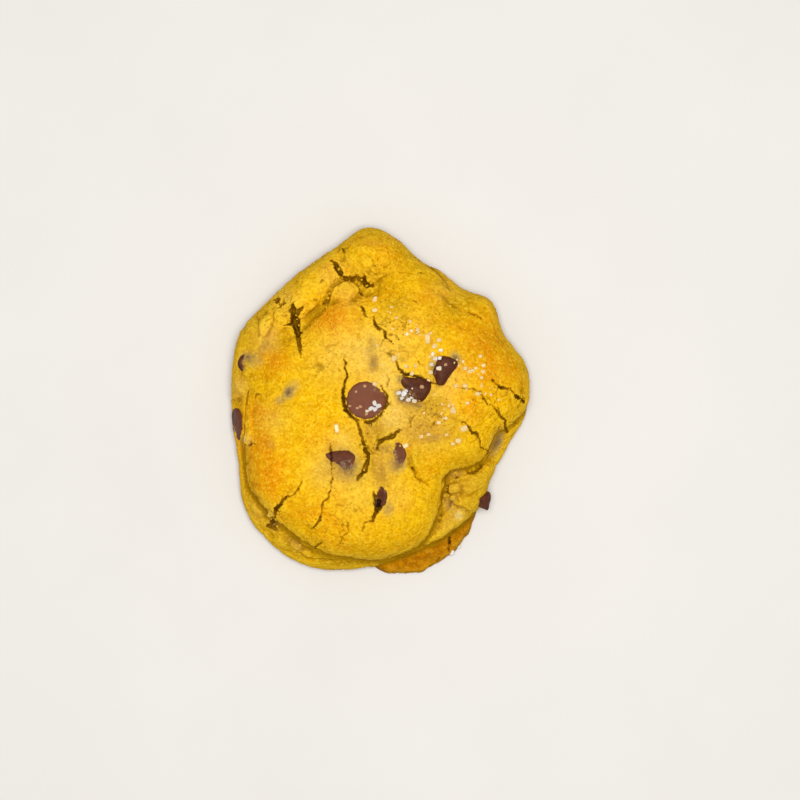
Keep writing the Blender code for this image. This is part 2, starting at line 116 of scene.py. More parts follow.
# ---------------------------------------------------------------------------------------------------------------
# What is only in the looks. Cracks are lines of (x, y, half-width, depth).
# ---------------------------------------------------------------------------------------------------------------
CRACKS = {
    "north_west_cleft": ((-29.0, 32.4, 0.5, 2.0), (-28.6, 30.0, 1.2, 4.5), (-28.4, 27.0, 1.7, 5.5),
                         (-27.6, 24.4, 1.3, 5.0), (-26.9, 21.6, 0.9, 3.6), (-26.4, 18.6, 0.7, 2.2),
                         (-25.8, 15.0, 0.25, 0.8)),
    "north_west_pocket": ((-27.4, 29.0, 0.7, 4.0), (-26.6, 30.4, 0.6, 3.0), (-25.2, 31.8, 0.25, 0.8)),
    "north_west_branch": ((-31.8, 25.4, 0.3, 0.8), (-29.6, 25.8, 0.8, 2.4), (-28.0, 25.4, 0.9, 3.0)),
    "north_west_notch": ((-35.4, 33.8, 0.4, 1.0), (-34.0, 33.6, 0.8, 2.2), (-33.4, 32.2, 0.4, 1.4),
                         (-31.4, 32.6, 0.25, 0.8)),
    "north_cleft": ((-15.8, 46.6, 0.5, 1.4), (-14.6, 44.8, 0.9, 3.4), (-13.6, 43.0, 1.0, 3.8), (-12.8, 41.6, 0.5, 2.0),
                    (-11.0, 40.6, 0.4, 1.6), (-8.0, 41.2, 0.5, 1.8), (-5.8, 40.4, 0.9, 3.0), (-4.4, 38.6, 1.1, 4.4),
                    (-2.6, 38.4, 0.5, 2.0)),
    "north_notch": ((-13.0, 51.0, 0.25, 0.8), (-12.2, 50.2, 0.5, 1.4), (-12.4, 47.8, 0.2, 0.6)),
    "wedge_groove": ((-16.9, 36.4, 0.2, 0.8), (-17.0, 34.0, 0.35, 1.4), (-18.6, 32.4, 0.45, 1.6)),
    "wedge_side": ((-6.6, 37.6, 0.2, 0.8), (-5.9, 35.4, 0.3, 1.2)),
    "north_west_pit": ((-21.6, 33.8, 0.45, 1.0), (-20.8, 33.8, 0.3, 0.8)),
    "north_west_dot": ((-19.4, 39.6, 0.4, 0.8), (-18.8, 40.2, 0.3, 0.8)),
    "north_west_trace": ((-25.6, 40.6, 0.2, 0.5), (-25.8, 37.6, 0.22, 0.6)),
    "top_a": ((-6.6, 31.8, 0.3, 1.0), (-5.4, 30.4, 0.45, 1.4), (-5.2, 28.6, 0.25, 0.8), (-4.0, 28.0, 0.25, 0.8)),
    "top_b": ((-2.0, 28.0, 0.35, 1.4), (-1.8, 26.2, 0.5, 2.4), (-0.8, 24.4, 0.5, 2.4), (1.0, 23.5, 0.3, 1.4),
              (1.8, 22.4, 0.4, 1.8), (2.0, 20.9, 0.4, 1.6), (3.9, 19.7, 0.25, 1.0)),
    "top_c": ((2.8, 15.8, 0.35, 1.0), (3.8, 14.8, 0.3, 0.8)),
    "top_d": ((11.0, 15.4, 0.2, 0.6), (12.4, 13.4, 0.25, 0.8), (12.8, 12.2, 0.25, 0.8)),
    "chip_lead": ((-11.8, 15.5, 0.22, 0.8), (-11.7, 13.8, 0.25, 1.2), (-11.2, 12.8, 0.32, 1.4), (-11.6, 11.0, 0.3, 1.4),
                  (-10.7, 9.4, 0.38, 1.6), (-10.7, 8.2, 0.32, 1.4), (-12.0, 5.6, 0.42, 1.6), (-12.1, 4.0, 0.5, 2.0)),
    "chip_gap": ((-11.8, 4.4, 0.5, 2.2), (-12.0, 1.4, 0.6, 3.0), (-11.3, -2.4, 0.6, 3.0), (-9.4, -4.8, 0.45, 2.4),
                 (-7.0, -6.2, 0.4, 1.6)),
    "chip_foot": ((-4.8, -6.4, 0.4, 1.4), (-3.2, -6.9, 0.8, 2.0), (-1.8, -6.0, 0.4, 1.4)),
    "chip_bridge": ((5.3, 13.2, 0.25, 1.0), (6.2, 11.0, 0.4, 1.8), (7.8, 9.4, 0.35, 1.6), (9.0, 8.9, 0.4, 1.6)),
    "chip_shade": ((6.4, 8.2, 0.3, 1.0), (9.4, 9.2, 0.5, 1.8), (13.0, 8.0, 0.5, 1.6), (16.8, 6.4, 0.35, 1.2),
                   (19.6, 5.6, 0.25, 0.8)),
    "chip_right": ((2.2, 9.2, 0.2, 0.6), (3.0, 7.2, 0.3, 1.0), (2.4, 5.6, 0.3, 1.0)),
    "chip_side": ((1.2, 1.4, 0.35, 1.2), (1.6, -0.2, 0.35, 1.4), (3.2, -0.3, 0.25, 0.8)),
    "middle_a": ((-7.6, -6.2, 0.35, 1.8), (-6.6, -9.0, 0.3, 1.8), (-6.1, -11.4, 0.4, 2.2), (-5.4, -14.2, 0.55, 2.6)),
    "middle_cleft": ((-5.0, -15.6, 0.6, 2.4), (-4.0, -17.2, 0.85, 3.2), (-4.3, -20.0, 0.9, 3.2), (-5.0, -22.4, 0.8, 2.8),
                     (-6.6, -24.2, 0.5, 2.0), (-7.6, -26.0, 0.35, 1.2)),
    "middle_loop": ((-1.0, -15.2, 0.4, 1.4), (-0.2, -13.2, 0.7, 1.8), (1.8, -11.9, 0.8, 2.2), (4.0, -11.5, 0.7, 2.0),
                    (5.4, -9.8, 0.5, 1.6), (6.6, -9.0, 0.4, 1.2)),
    "middle_trace": ((7.0, -9.0, 0.2, 0.6), (9.7, -8.3, 0.22, 0.8), (10.0, -5.6, 0.25, 0.8), (12.6, -3.2, 0.2, 0.6)),
    "east_a": ((24.5, 7.8, 0.3, 0.8), (25.2, 6.6, 0.25, 0.8)),
    "east_b": ((25.6, 4.7, 0.25, 0.6), (28.8, 4.6, 0.3, 0.8), (30.0, 4.4, 0.3, 1.0), (33.2, 2.7, 0.3, 1.0),
               (34.0, 1.0, 0.35, 1.2), (34.8, -0.4, 0.3, 1.0), (36.6, -0.8, 0.25, 0.8), (38.4, -2.8, 0.35, 1.2),
               (39.3, -4.4, 0.35, 1.2), (41.0, -5.8, 0.4, 1.4), (41.6, -8.5, 0.45, 1.6), (42.6, -10.2, 0.35, 1.2)),
    "east_c": ((36.8, 7.3, 0.35, 1.0), (38.0, 6.0, 0.3, 0.8), (39.9, 4.7, 0.7, 2.0), (43.0, 4.3, 0.3, 1.0),
               (44.2, 2.4, 0.35, 1.2), (45.3, 1.6, 0.9, 2.4), (46.5, 1.0, 0.4, 1.4), (47.6, 0.3, 0.7, 1.8)),
    "east_d": ((26.8, -6.6, 0.45, 1.2), (27.4, -6.6, 0.3, 1.0), (29.4, -8.7, 0.45, 1.4), (30.1, -10.3, 0.5, 1.6),
               (31.6, -10.2, 0.45, 1.4), (32.4, -11.8, 0.4, 1.4), (32.8, -14.6, 0.3, 1.2), (35.4, -16.2, 0.35, 1.4),
               (36.4, -17.2, 0.3, 1.0)),
    "east_e": ((42.6, -6.4, 0.25, 0.8), (45.4, -7.1, 0.25, 0.6)),
    "south_west_a": ((-25.4, -25.8, 0.25, 0.8), (-27.0, -28.6, 0.3, 1.4), (-28.8, -30.6, 0.3, 1.4),
                     (-31.2, -31.6, 0.4, 1.8), (-32.8, -33.4, 0.6, 2.2), (-34.6, -35.8, 0.7, 2.4),
                     (-35.4, -39.0, 0.35, 1.4)),
    "south_west_hole": ((-36.2, -38.6, 0.5, 1.4), (-36.8, -41.2, 1.1, 2.2), (-35.2, -42.6, 0.6, 1.6)),
    "south_west_speck": ((-43.6, -14.6, 0.4, 1.4), (-42.6, -13.8, 0.3, 1.0), (-41.6, -14.2, 0.2, 0.6)),
    "south_b": ((-16.4, -13.4, 0.22, 0.8), (-15.9, -18.6, 0.35, 1.6), (-16.2, -23.8, 0.25, 1.0),
                (-15.8, -27.0, 0.3, 1.0), (-16.9, -31.0, 0.3, 1.2), (-18.9, -33.0, 0.4, 1.6), (-19.1, -35.4, 0.25, 1.0),
                (-19.6, -38.0, 0.4, 1.6), (-20.8, -40.4, 0.4, 1.6), (-22.6, -41.9, 0.3, 1.2)),
    "south_c": ((-19.4, -46.4, 0.3, 1.0), (-21.2, -47.8, 0.35, 1.4), (-21.8, -49.2, 0.35, 1.2)),
    "south_d": ((-10.5, -39.8, 0.3, 0.8), (-10.3, -42.4, 0.25, 1.0), (-12.2, -44.4, 0.22, 0.8), (-13.4, -47.0, 0.3, 0.8)),
    "south_gap": ((-2.4, -29.4, 0.3, 1.2), (-1.3, -31.2, 0.8, 3.0), (-0.9, -33.6, 1.1, 3.8), (-1.0, -35.6, 0.8, 3.2),
                  (-2.0, -37.6, 0.5, 2.2), (-2.5, -39.0, 0.4, 1.8)),
    "south_window": ((0.8, -28.2, 0.5, 1.0), (0.2, -30.2, 1.2, 2.4), (0.0, -32.8, 1.3, 2.8), (-0.2, -34.8, 0.9, 2.4)),
    "south_gap_tail": ((-2.6, -38.9, 0.25, 1.0), (-5.2, -39.7, 0.3, 1.2), (-5.8, -42.0, 0.22, 0.8)),
    "south_trace": ((-6.9, -34.6, 0.25, 0.6), (-6.0, -36.6, 0.2, 0.5)),
    "south_e": ((10.6, -21.4, 0.25, 1.2), (11.8, -24.6, 0.3, 1.2), (13.4, -25.8, 0.2, 1.0), (16.6, -27.6, 0.15, 0.6)),
    "north_east_a": ((13.0, 42.3, 0.35, 0.8), (13.8, 42.2, 0.3, 0.8)),
    "north_east_b": ((6.2, 42.9, 0.2, 0.6), (8.6, 42.6, 0.22, 0.6), (10.8, 42.4, 0.2, 0.5)),
    "north_east_c": ((11.2, 33.2, 0.35, 0.8), (12.0, 32.4, 0.3, 0.8)),
    "north_east_d": ((29.6, 29.8, 0.25, 0.8), (31.6, 28.8, 0.35, 1.0), (34.0, 27.4, 0.2, 0.6)),
    "bulge_edge": ((28.4, -23.4, 0.25, 1.2), (30.8, -23.3, 0.3, 1.4), (33.2, -21.8, 0.35, 1.6), (34.8, -19.8, 0.25, 1.2)),
    "south_east_hole": ((24.8, -25.0, 0.4, 1.4), (25.4, -24.8, 0.35, 1.2)),
    "south_east_slit": ((22.6, -27.4, 0.2, 1.2), (22.2, -30.6, 0.25, 1.4)),
    "west_hook": ((-41.4, 1.2, 0.25, 0.8), (-40.6, 2.6, 0.35, 1.0), (-39.6, 2.4, 0.25, 0.8)),
    "chip_rim": ((0.4, 5.2, 0.3, 1.4), (1.9, 2.8, 0.35, 1.8), (2.4, 0.4, 0.45, 2.0), (1.7, -1.8, 0.5, 2.0),
                 (0.2, -4.2, 0.45, 1.8), (-1.6, -5.8, 0.4, 1.6)),
    "south_east_seam": ((20.8, -37.0, 0.2, 1.2), (19.0, -40.4, 0.22, 1.2), (17.4, -43.0, 0.2, 1.0)),
    "foot_hole": ((23.0, -45.8, 0.45, 1.2), (23.3, -47.4, 0.7, 1.6)),
    "foot_pits": ((22.8, -49.0, 0.3, 0.8), (22.9, -50.2, 0.3, 0.8)),
    "foot_notch": ((19.8, -52.4, 0.4, 0.8), (19.2, -54.0, 0.4, 0.8)),
}

# Soft folds as lines of (x, y, width, depth).
FOLDS = (
    ((-44.0, -18.0, 1.0, 0.1), (-44.4, -25.0, 1.1, 0.3), (-42.2, -30.0, 1.2, 0.5), (-38.6, -37.0, 1.2, 0.9),
     (-36.4, -40.0, 1.3, 1.2), (-34.0, -42.2, 1.4, 1.5), (-30.6, -45.6, 1.5, 1.4), (-26.5, -48.2, 1.4, 1.1),
     (-22.0, -50.2, 1.3, 0.6), (-15.0, -52.0, 1.2, 0.3), (-6.0, -52.8, 1.2, 0.2), (0.0, -52.6, 1.2, 0.2),
     (7.0, -51.2, 1.2, 0.2), (13.0, -48.6, 1.2, 0.3), (17.0, -44.8, 1.2, 0.9), (19.6, -39.0, 1.1, 1.0),
     (21.6, -34.0, 1.1, 1.1), (22.2, -29.0, 1.0, 1.1)),
    ((-31.0, -49.8, 0.7, 0.4), (-24.0, -52.6, 0.7, 0.7), (-16.0, -53.2, 0.7, 0.5)),
    ((10.8, -13.4, 0.9, 0.4), (9.8, -17.0, 0.9, 1.0), (10.2, -20.5, 0.9, 1.1), (12.2, -24.0, 0.7, 0.7),
     (15.5, -27.2, 0.6, 0.4)),
    ((11.0, -13.0, 1.0, 0.4), (16.0, -12.6, 1.3, 0.9), (21.0, -11.6, 1.1, 0.6), (25.0, -9.4, 0.8, 0.3)),
    ((21.6, -25.6, 1.0, 0.9), (24.0, -23.6, 1.2, 1.2), (28.0, -23.6, 1.1, 1.0), (31.5, -23.2, 0.9, 1.1),
     (34.0, -21.4, 0.9, 1.0), (36.2, -18.4, 0.9, 0.8), (38.6, -13.0, 1.2, 0.7), (40.2, -8.5, 1.0, 0.4)),
    ((17.0, 37.2, 1.0, 0.2), (21.5, 35.2, 1.0, 0.5), (24.0, 32.6, 1.1, 0.8), (27.0, 30.2, 1.0, 0.6),
     (31.5, 28.6, 0.8, 0.5), (35.0, 26.5, 0.8, 0.3)),
    ((24.2, 34.6, 0.6, 0.3), (26.2, 33.2, 0.6, 0.4), (28.6, 31.4, 0.6, 0.3)),
    ((-3.0, 38.6, 0.8, 0.5), (2.0, 40.8, 0.8, 0.5), (6.0, 42.3, 0.7, 0.3)),
    ((-18.6, 32.0, 0.7, 0.5), (-16.8, 34.4, 0.6, 0.4), (-15.2, 38.2, 0.6, 0.4), (-12.5, 40.4, 0.6, 0.4),
     (-9.6, 40.3, 0.6, 0.4), (-7.2, 38.8, 0.7, 0.4), (-5.9, 35.8, 0.6, 0.4)),
    ((-19.0, 31.8, 0.9, 0.3), (-22.5, 29.8, 1.0, 0.4), (-25.5, 27.4, 1.0, 0.4)),
    ((-31.0, 24.6, 1.0, 0.4), (-34.0, 20.5, 1.1, 0.3), (-38.6, 16.6, 1.2, 0.2)),
    ((-35.2, 29.4, 0.6, 0.6), (-35.6, 25.0, 0.6, 0.7), (-37.5, 21.6, 0.5, 0.5)),
    ((-40.8, 28.0, 0.6, 0.5), (-40.6, 22.0, 0.6, 0.5)),
    ((22.4, -33.0, 0.8, 0.8), (25.6, -35.0, 0.8, 0.8), (29.6, -36.6, 0.7, 0.5)),
    ((27.0, -30.4, 0.6, 0.6), (31.0, -30.6, 0.6, 0.6), (34.0, -28.8, 0.6, 0.3)),
    ((-1.0, -15.4, 0.7, 0.3), (-2.0, -19.0, 0.8, 0.6), (-1.8, -24.0, 0.8, 0.3)),
)

# Rounded knobs of dough that stand out of the torn and folded parts: centre, half-axes, bearing, height.
KNOBS = (
    ((-11.2, 36.6), (4.8, 3.4), 15, 0.5), ((-11.2, 42.0), (1.3, 1.1), 0, 0.6), ((24.6, -28.6), (2.3, 1.9), 20, 1.8),
    ((27.6, -26.8), (1.4, 1.2), 0, 0.6), ((31.4, -27.2), (4.6, 3.0), 35, 0.5), ((29.4, -33.6), (4.2, 2.4), 25, 0.4),
    ((26.2, -37.8), (2.6, 2.0), 40, 0.5), ((21.6, -41.8), (4.6, 2.0), 50, 0.5), ((23.8, -31.6), (1.4, 0.8), 20, 0.8),
    ((-38.4, 25.0), (4.0, 2.1), 75, 0.7), ((-37.4, 19.4), (3.8, 1.5), 55, 0.3), ((-33.4, 28.4), (1.8, 2.6), 10, 0.4),
    ((-44.4, 9.4), (1.5, 2.4), -15, 0.4), ((-44.2, -12.6), (0.9, 1.7), 10, 0.6), ((-36.7, -37.4), (0.9, 0.7), 0, 0.8),
    ((-41.0, -36.0), (3.0, 1.6), -50, 0.5), ((-33.6, -47.0), (3.0, 1.4), -38, 0.6), ((-28.4, -47.8), (2.4, 1.0), -35, 0.7),
    ((-24.6, -50.6), (2.0, 0.9), -25, 0.5), ((-5.2, -9.6), (0.9, 1.6), 10, 0.5), ((-3.2, -9.4), (1.1, 1.3), 0, 0.6),
    ((-2.2, -12.6), (0.9, 1.1), 0, 0.5), ((-22.6, 31.6), (2.2, 0.9), 35, 0.5), ((21.4, -4.4), (1.6, 1.2), 30, 0.4),
    ((16.6, -5.8), (2.2, 1.5), -20, 0.4), ((-7.4, 43.6), (1.8, 1.3), 20, 0.4), ((-0.6, 41.4), (1.6, 1.1), 30, 0.5),
)

# Where the lobes run into each other without a crease: centre, spread, strength.
BLENDED = (
    ((-46.0, 4.0), 7.0, 1.2), ((-41.0, 11.0), 7.0, 1.0), ((-45.0, -12.0), 8.0, 1.2), ((-44.0, -25.0), 7.0, 0.8),
    ((30.0, -31.0), 8.0, 0.9), ((38.0, -14.0), 6.0, 0.8), ((0.0, -52.0), 9.0, 0.6), ((-35.0, 19.0), 5.0, 0.7),
    ((26.0, 31.0), 9.0, 0.5), ((38.0, 25.0), 7.0, 0.7), ((8.0, 41.0), 8.0, 0.8), ((20.0, 38.0), 7.0, 0.6),
    ((-18.0, -52.0), 7.0, 0.4), ((14.0, -48.0), 6.0, 0.4), ((-26.0, -49.0), 5.0, 0.3),
)

# Where painted shade makes a deep crack nearly black: centre, spread, strength.
SHADED = (
    ((-1.1, -33.8), 2.6, 1.0), ((-12.2, 2.0), 3.0, 0.6), ((-11.4, -2.0), 2.6, 0.6), ((-9.6, -4.6), 2.0, 0.4),
    ((-3.4, -6.8), 1.8, 0.6), ((9.0, 9.0), 2.4, 0.8), ((13.6, 8.0), 3.0, 0.6), ((-4.4, 38.8), 1.6, 0.3),
    ((-13.6, 43.0), 2.0, 0.3), ((-28.4, 27.4), 2.6, 0.3), ((-26.8, 22.4), 2.2, 0.35), ((45.3, 1.6), 1.6, 0.9),
    ((39.9, 4.7), 1.4, 0.9), ((47.6, 0.3), 1.2, 0.9), ((30.0, -9.8), 2.0, 0.7), ((23.2, -46.8), 2.0, 0.9),
    ((41.4, -8.4), 1.8, 0.5), ((-5.6, -13.6), 1.8, 0.3), ((-4.2, -18.4), 2.2, 0.25), ((2.0, -11.8), 2.0, 0.25),
    ((-1.4, 25.4), 1.6, 0.6), ((2.0, 21.6), 1.6, 0.6), ((31.5, -22.8), 3.0, 0.5), ((-33.6, -35.0), 1.8, 0.6),
    ((-19.6, -38.6), 1.8, 0.5), ((1.8, 0.6), 2.0, 0.6), ((0.4, -4.0), 1.8, 0.3), ((-16.2, -17.8), 2.0, 0.4),
    ((-5.4, 30.2), 1.2, 0.6), ((22.8, -50.0), 1.0, 0.7), ((-10.8, 9.0), 2.0, 0.4), ((-30.6, 25.4), 1.2, 0.3),
    ((27.0, -6.6), 1.0, 0.6), ((-36.6, -40.6), 1.6, 0.3), ((34.6, -0.6), 1.6, 0.3), ((19.5, -53.5), 1.4, 0.5),
)

# Where shade is painted into the dough's colour: under its own overhangs, low by the rim, in soft folds and around
# cracks: centre, spread, strength.
PAINTED_SHADE = (
    ((-44.0, -31.0), 4.5, 0.8), ((-41.0, -40.0), 3.5, 0.6), ((-36.4, -44.6), 2.6, 0.6), ((-32.0, -47.4), 3.4, 1.0),
    ((-26.0, -51.4), 3.0, 0.7), ((-19.0, -54.0), 4.0, 1.0), ((-12.0, -54.6), 4.0, 0.8), ((-5.0, -55.4), 4.0, 0.7),
    ((24.6, -31.6), 3.6, 0.8), ((30.0, -35.4), 3.6, 0.8), ((31.0, -27.0), 4.0, 0.4), ((38.6, -20.0), 2.6, 0.8),
    ((24.0, -41.0), 3.5, 0.4), ((-43.0, 19.0), 4.0, 0.4), ((-26.0, -2.0), 11.0, 0.12), ((6.0, 31.0), 3.0, 0.3),
    ((-11.5, 36.8), 3.0, 0.35), ((31.0, 17.0), 4.5, 0.3), ((-1.0, -8.6), 4.0, 0.5), ((-3.4, -20.0), 3.0, 0.6),
    ((0.4, -13.2), 3.0, 0.5), ((16.0, -1.0), 3.4, 0.8), ((9.4, -20.0), 2.0, 0.5), ((-36.0, -41.6), 2.2, 0.8),
    ((24.4, -25.0), 3.0, 0.5), ((22.0, 34.0), 2.4, 0.3), ((-2.0, -33.0), 2.4, 0.4), ((15.0, 6.0), 3.0, 0.5),
    ((24.0, 31.4), 3.0, 0.6), ((3.0, 41.5), 3.5, 0.4), ((-3.0, 42.0), 4.0, 0.4), ((3.0, 31.0), 4.0, 0.4),
    ((-43.0, 9.0), 4.5, 0.6), ((36.0, -26.0), 3.0, 0.6), ((27.0, -43.0), 3.0, 0.4), ((24.0, -12.0), 3.0, 0.4),
    ((12.0, -18.0), 3.0, 0.5), ((0.4, -25.0), 2.6, 0.6), ((20.0, -1.0), 3.0, 0.4), ((25.0, -6.0), 3.0, 0.4), ((-5.6, -14.0), 2.4, 0.6), ((-4.6, -21.0), 2.6, 0.5),
    ((1.6, -12.4), 2.4, 0.4), ((18.2, 9.0), 1.8, 0.6), ((42.0, 2.0), 3.0, 0.2), ((-20.0, -22.0), 4.0, 0.15), ((28.0, 33.0), 3.0, 0.2),
)

# Where the surface is torn open and crumbly: centre, spread, strength.
TORN = (
    ((16.0, -6.5), 5.5, 0.6), ((-28.5, 27.0), 4.0, 1.0), ((-6.0, 41.0), 5.0, 0.7), ((24.4, -24.6), 2.4, 0.2),
    ((-3.4, -12.0), 3.5, 0.8), ((-3.6, -19.5), 2.5, 0.8), ((-34.0, 32.5), 4.0, 0.7), ((-13.0, 35.5), 4.5, 0.45),
    ((-36.6, -40.0), 3.5, 0.9), ((8.0, 2.2), 3.0, 0.8), ((-14.4, 43.0), 4.0, 0.7), ((24.5, -6.5), 5.0, 0.5),
    ((23.0, -35.0), 3.0, 0.25), ((-28.0, -47.5), 4.0, 0.4), ((-1.0, 45.0), 8.0, 0.2), ((-20.0, 40.0), 7.0, 0.2), ((2.5, -12.0), 3.0, 0.4), ((-44.0, 11.0), 3.0, 0.4),
)

# Where hairline cracks and pores are thick: centre, spread, strength.
CRAZED = (
    ((-2.0, 45.0), 9.0, 0.5), ((-33.0, 33.0), 7.0, 0.6), ((-38.0, 26.0), 6.0, 0.4), ((28.0, 29.0), 7.0, 0.4),
    ((38.0, -1.0), 9.0, 0.6), ((-14.0, -38.0), 9.0, 0.5), ((18.0, -5.0), 8.0, 0.7),
    ((6.0, 22.0), 10.0, 0.7), ((-18.0, 13.0), 7.0, 0.6), ((-35.0, -34.0), 7.0, 0.4), ((-2.0, -13.0), 7.0, 0.5),
)

# Dough that climbs onto the chips, or sinks away beside them: centre, spread, height.
COLLARS = (
    ((-45.0, -2.6), 2.2, 2.2), ((-45.0, -6.4), 2.2, 3.2), ((-44.8, -10.4), 2.2, 3.2), ((-43.0, 13.6), 2.6, 1.6),
    ((-42.8, 10.8), 2.2, 1.6), ((-15.3, -21.6), 2.6, 1.4), ((-6.8, -21.4), 1.8, 0.8), ((1.6, -17.6), 3.0, 1.0),
    ((6.6, -22.4), 1.8, 0.8), ((18.4, 9.4), 2.0, -1.6), ((19.6, 6.4), 1.6, -1.4), ((10.4, 1.0), 2.2, -1.2),
    ((13.6, 0.8), 1.4, -0.8), ((1.4, 0.6), 1.6, -0.8),
)

# Where the crust has browned more: centre, spread, strength.
BROWNED = (
    ((-42.0, -17.0), 8.0, 0.9), ((-38.0, -22.0), 9.0, 0.6), ((-42.0, -3.0), 5.0, 0.8), ((-35.0, 13.0), 5.5, 0.9),
    ((-14.0, 29.0), 5.5, 1.0), ((-20.0, 27.0), 4.0, 0.6), ((-36.0, -28.0), 8.0, 0.5), ((-2.0, 50.0), 8.0, 0.3),
    ((-17.0, 44.0), 4.0, 0.5), ((32.0, 18.0), 9.0, 0.8), ((40.0, 10.0), 8.0, 0.7), ((30.0, -2.0), 6.0, 0.5),
    ((-14.0, -44.0), 7.0, 0.5), ((-20.0, -36.0), 6.0, 0.4), ((8.0, -49.0), 7.0, 0.3), ((34.0, 30.0), 7.0, 0.4),
    ((16.0, 34.0), 9.0, 0.2), ((40.0, -26.0), 6.0, 0.5), ((-47.0, 8.0), 3.0, 0.3),
)

# Where the crumb shows paler: centre, spread, strength.
PALE = (
    ((3.0, 3.0), 9.0, 0.6), ((16.0, -7.0), 6.5, 0.6), ((-4.0, 17.0), 8.0, 0.65), ((4.0, -6.0), 6.0, 0.8),
    ((1.0, -20.0), 5.0, 0.5), ((26.0, -37.4), 2.1, 2.2), ((-47.6, 5.0), 3.4, 0.8), ((-38.4, 25.0), 4.0, 0.4),
    ((-36.6, 20.0), 3.4, 0.7), ((-44.3, -12.6), 1.5, 2.0), ((-36.7, -37.4), 1.0, 2.0), ((8.0, 20.0), 9.0, 0.3),
    ((-14.0, -20.0), 8.0, 0.3), ((24.6, -28.6), 2.4, 0.4), ((-30.0, 33.0), 5.0, 0.3), ((-10.0, 35.0), 4.0, 0.3),
    ((-15.0, 15.0), 8.0, 0.4), ((22.8, -34.4), 1.4, 2.0), ((24.4, -31.8), 0.9, 2.0), ((-16.0, 42.0), 5.0, 0.4), ((-34.0, 36.0), 4.0, 0.3),
    ((20.0, 5.0), 6.0, 0.4), ((24.0, 8.0), 5.0, 0.3), ((-12.0, -13.0), 4.0, 0.5), ((-18.0, -23.0), 5.0, 0.4),
    ((-7.0, -31.0), 7.0, 0.3), ((5.0, -31.0), 5.0, 0.35), ((-35.0, -6.0), 5.0, 0.3), ((3.0, 9.0), 5.0, 0.3),
    ((22.0, -41.0), 4.0, 0.4), ((-40.0, -37.0), 4.0, 0.4), ((31.0, -27.0), 4.0, 0.3), ((22.0, 37.0), 5.0, 0.3),
)

# Where the dough looks olive and dull, partly because it is less browned, low and out of the heat, and partly painted
# shade: centre, spread, strength.
DULL_AND_SHADE = (
    ((-27.0, -49.0), 6.0, 0.8), ((-38.0, -38.0), 5.0, 0.6), ((-46.0, -22.0), 4.0, 0.7), ((-14.0, -54.0), 6.0, 0.9),
    ((-4.0, -54.0), 6.0, 0.9), ((6.0, -52.0), 5.0, 0.7), ((15.0, -47.0), 5.0, 0.7), ((21.0, -37.0), 5.0, 0.7),
    ((34.0, -26.0), 6.0, 0.6), ((30.0, -34.0), 5.0, 0.7), ((24.0, -24.5), 3.0, 0.8), ((38.0, 24.0), 8.0, 0.2),
    ((30.0, 34.0), 8.0, 0.6), ((45.0, 14.0), 5.0, 0.2), ((46.0, -4.0), 5.0, 0.1), ((10.0, 46.0), 6.0, 0.5),
    ((24.0, 32.0), 4.0, 0.6), ((-20.0, 48.0), 6.0, 0.4), ((-45.0, 24.0), 5.0, 0.6), ((-42.0, 12.0), 4.0, 0.6),
    ((-6.0, 56.0), 5.0, 0.4), ((18.0, -12.6), 3.0, 0.5), ((9.6, -18.5), 2.0, 0.8), ((-3.8, -9.0), 3.0, 0.5),
    ((-40.0, 32.0), 5.0, 0.5), ((8.0, 33.0), 4.0, 0.3), ((40.0, -15.0), 4.0, 0.1), ((36.0, 10.0), 9.0, 0.3),
    ((16.0, -4.0), 6.0, 0.3), ((31.0, -27.0), 7.0, 0.5), ((21.0, -42.0), 5.0, 0.5), ((-6.0, -57.0), 6.0, 0.5),
)

# Chocolate showing through a film of dough: centre, half-axes, bearing, strength.
SMEARS = (
    ((-29.7, 3.3), (2.6, 1.8), 50, 1.0),
    ((-32.6, 0.8), (2.6, 1.4), 30, 0.6),
    ((-28.2, 5.0), (3.0, 2.4), 60, 0.4),
    ((-3.0, 18.0), (4.0, 2.2), 70, 0.4),
    ((-2.2, 12.8), (3.0, 1.4), 85, 0.9),
    ((-11.2, -20.6), (5.6, 4.2), -35, 1.0),
    ((5.8, -20.2), (2.9, 2.5), 60, 1.1),
    ((2.0, -15.6), (2.6, 1.8), 20, 0.5),
    ((8.6, 1.5), (3.5, 2.4), -25, 1.5),
    ((11.6, -0.6), (2.6, 1.6), -20, 1.0),
    ((38.8, -13.0), (1.9, 4.8), -20, 1.1),
    ((23.0, -34.0), (1.5, 2.4), 10, 0.8),
    ((24.0, -24.2), (3.0, 1.0), 10, 0.6),
    ((-42.8, 14.2), (3.8, 2.4), -15, 0.8),
    ((-38.4, 18.4), (3.4, 1.6), 58, 0.45),
    ((2.4, -34.8), (2.0, 2.4), 10, 0.65),
    ((17.6, -11.4), (3.0, 1.3), 10, 0.5),
    ((-35.6, -40.4), (1.6, 2.2), 5, 1.0),
    ((-48.4, 4.6), (1.6, 4.0), 0, 0.4),
    ((24.8, 14.4), (2.2, 1.6), -50, 1.0),
    ((17.6, 12.0), (1.8, 2.4), 0, 0.7),
    ((6.6, 7.4), (1.4, 1.8), 30, 0.7),
    ((-28.0, -47.6), (2.6, 1.2), -35, 0.45),
)

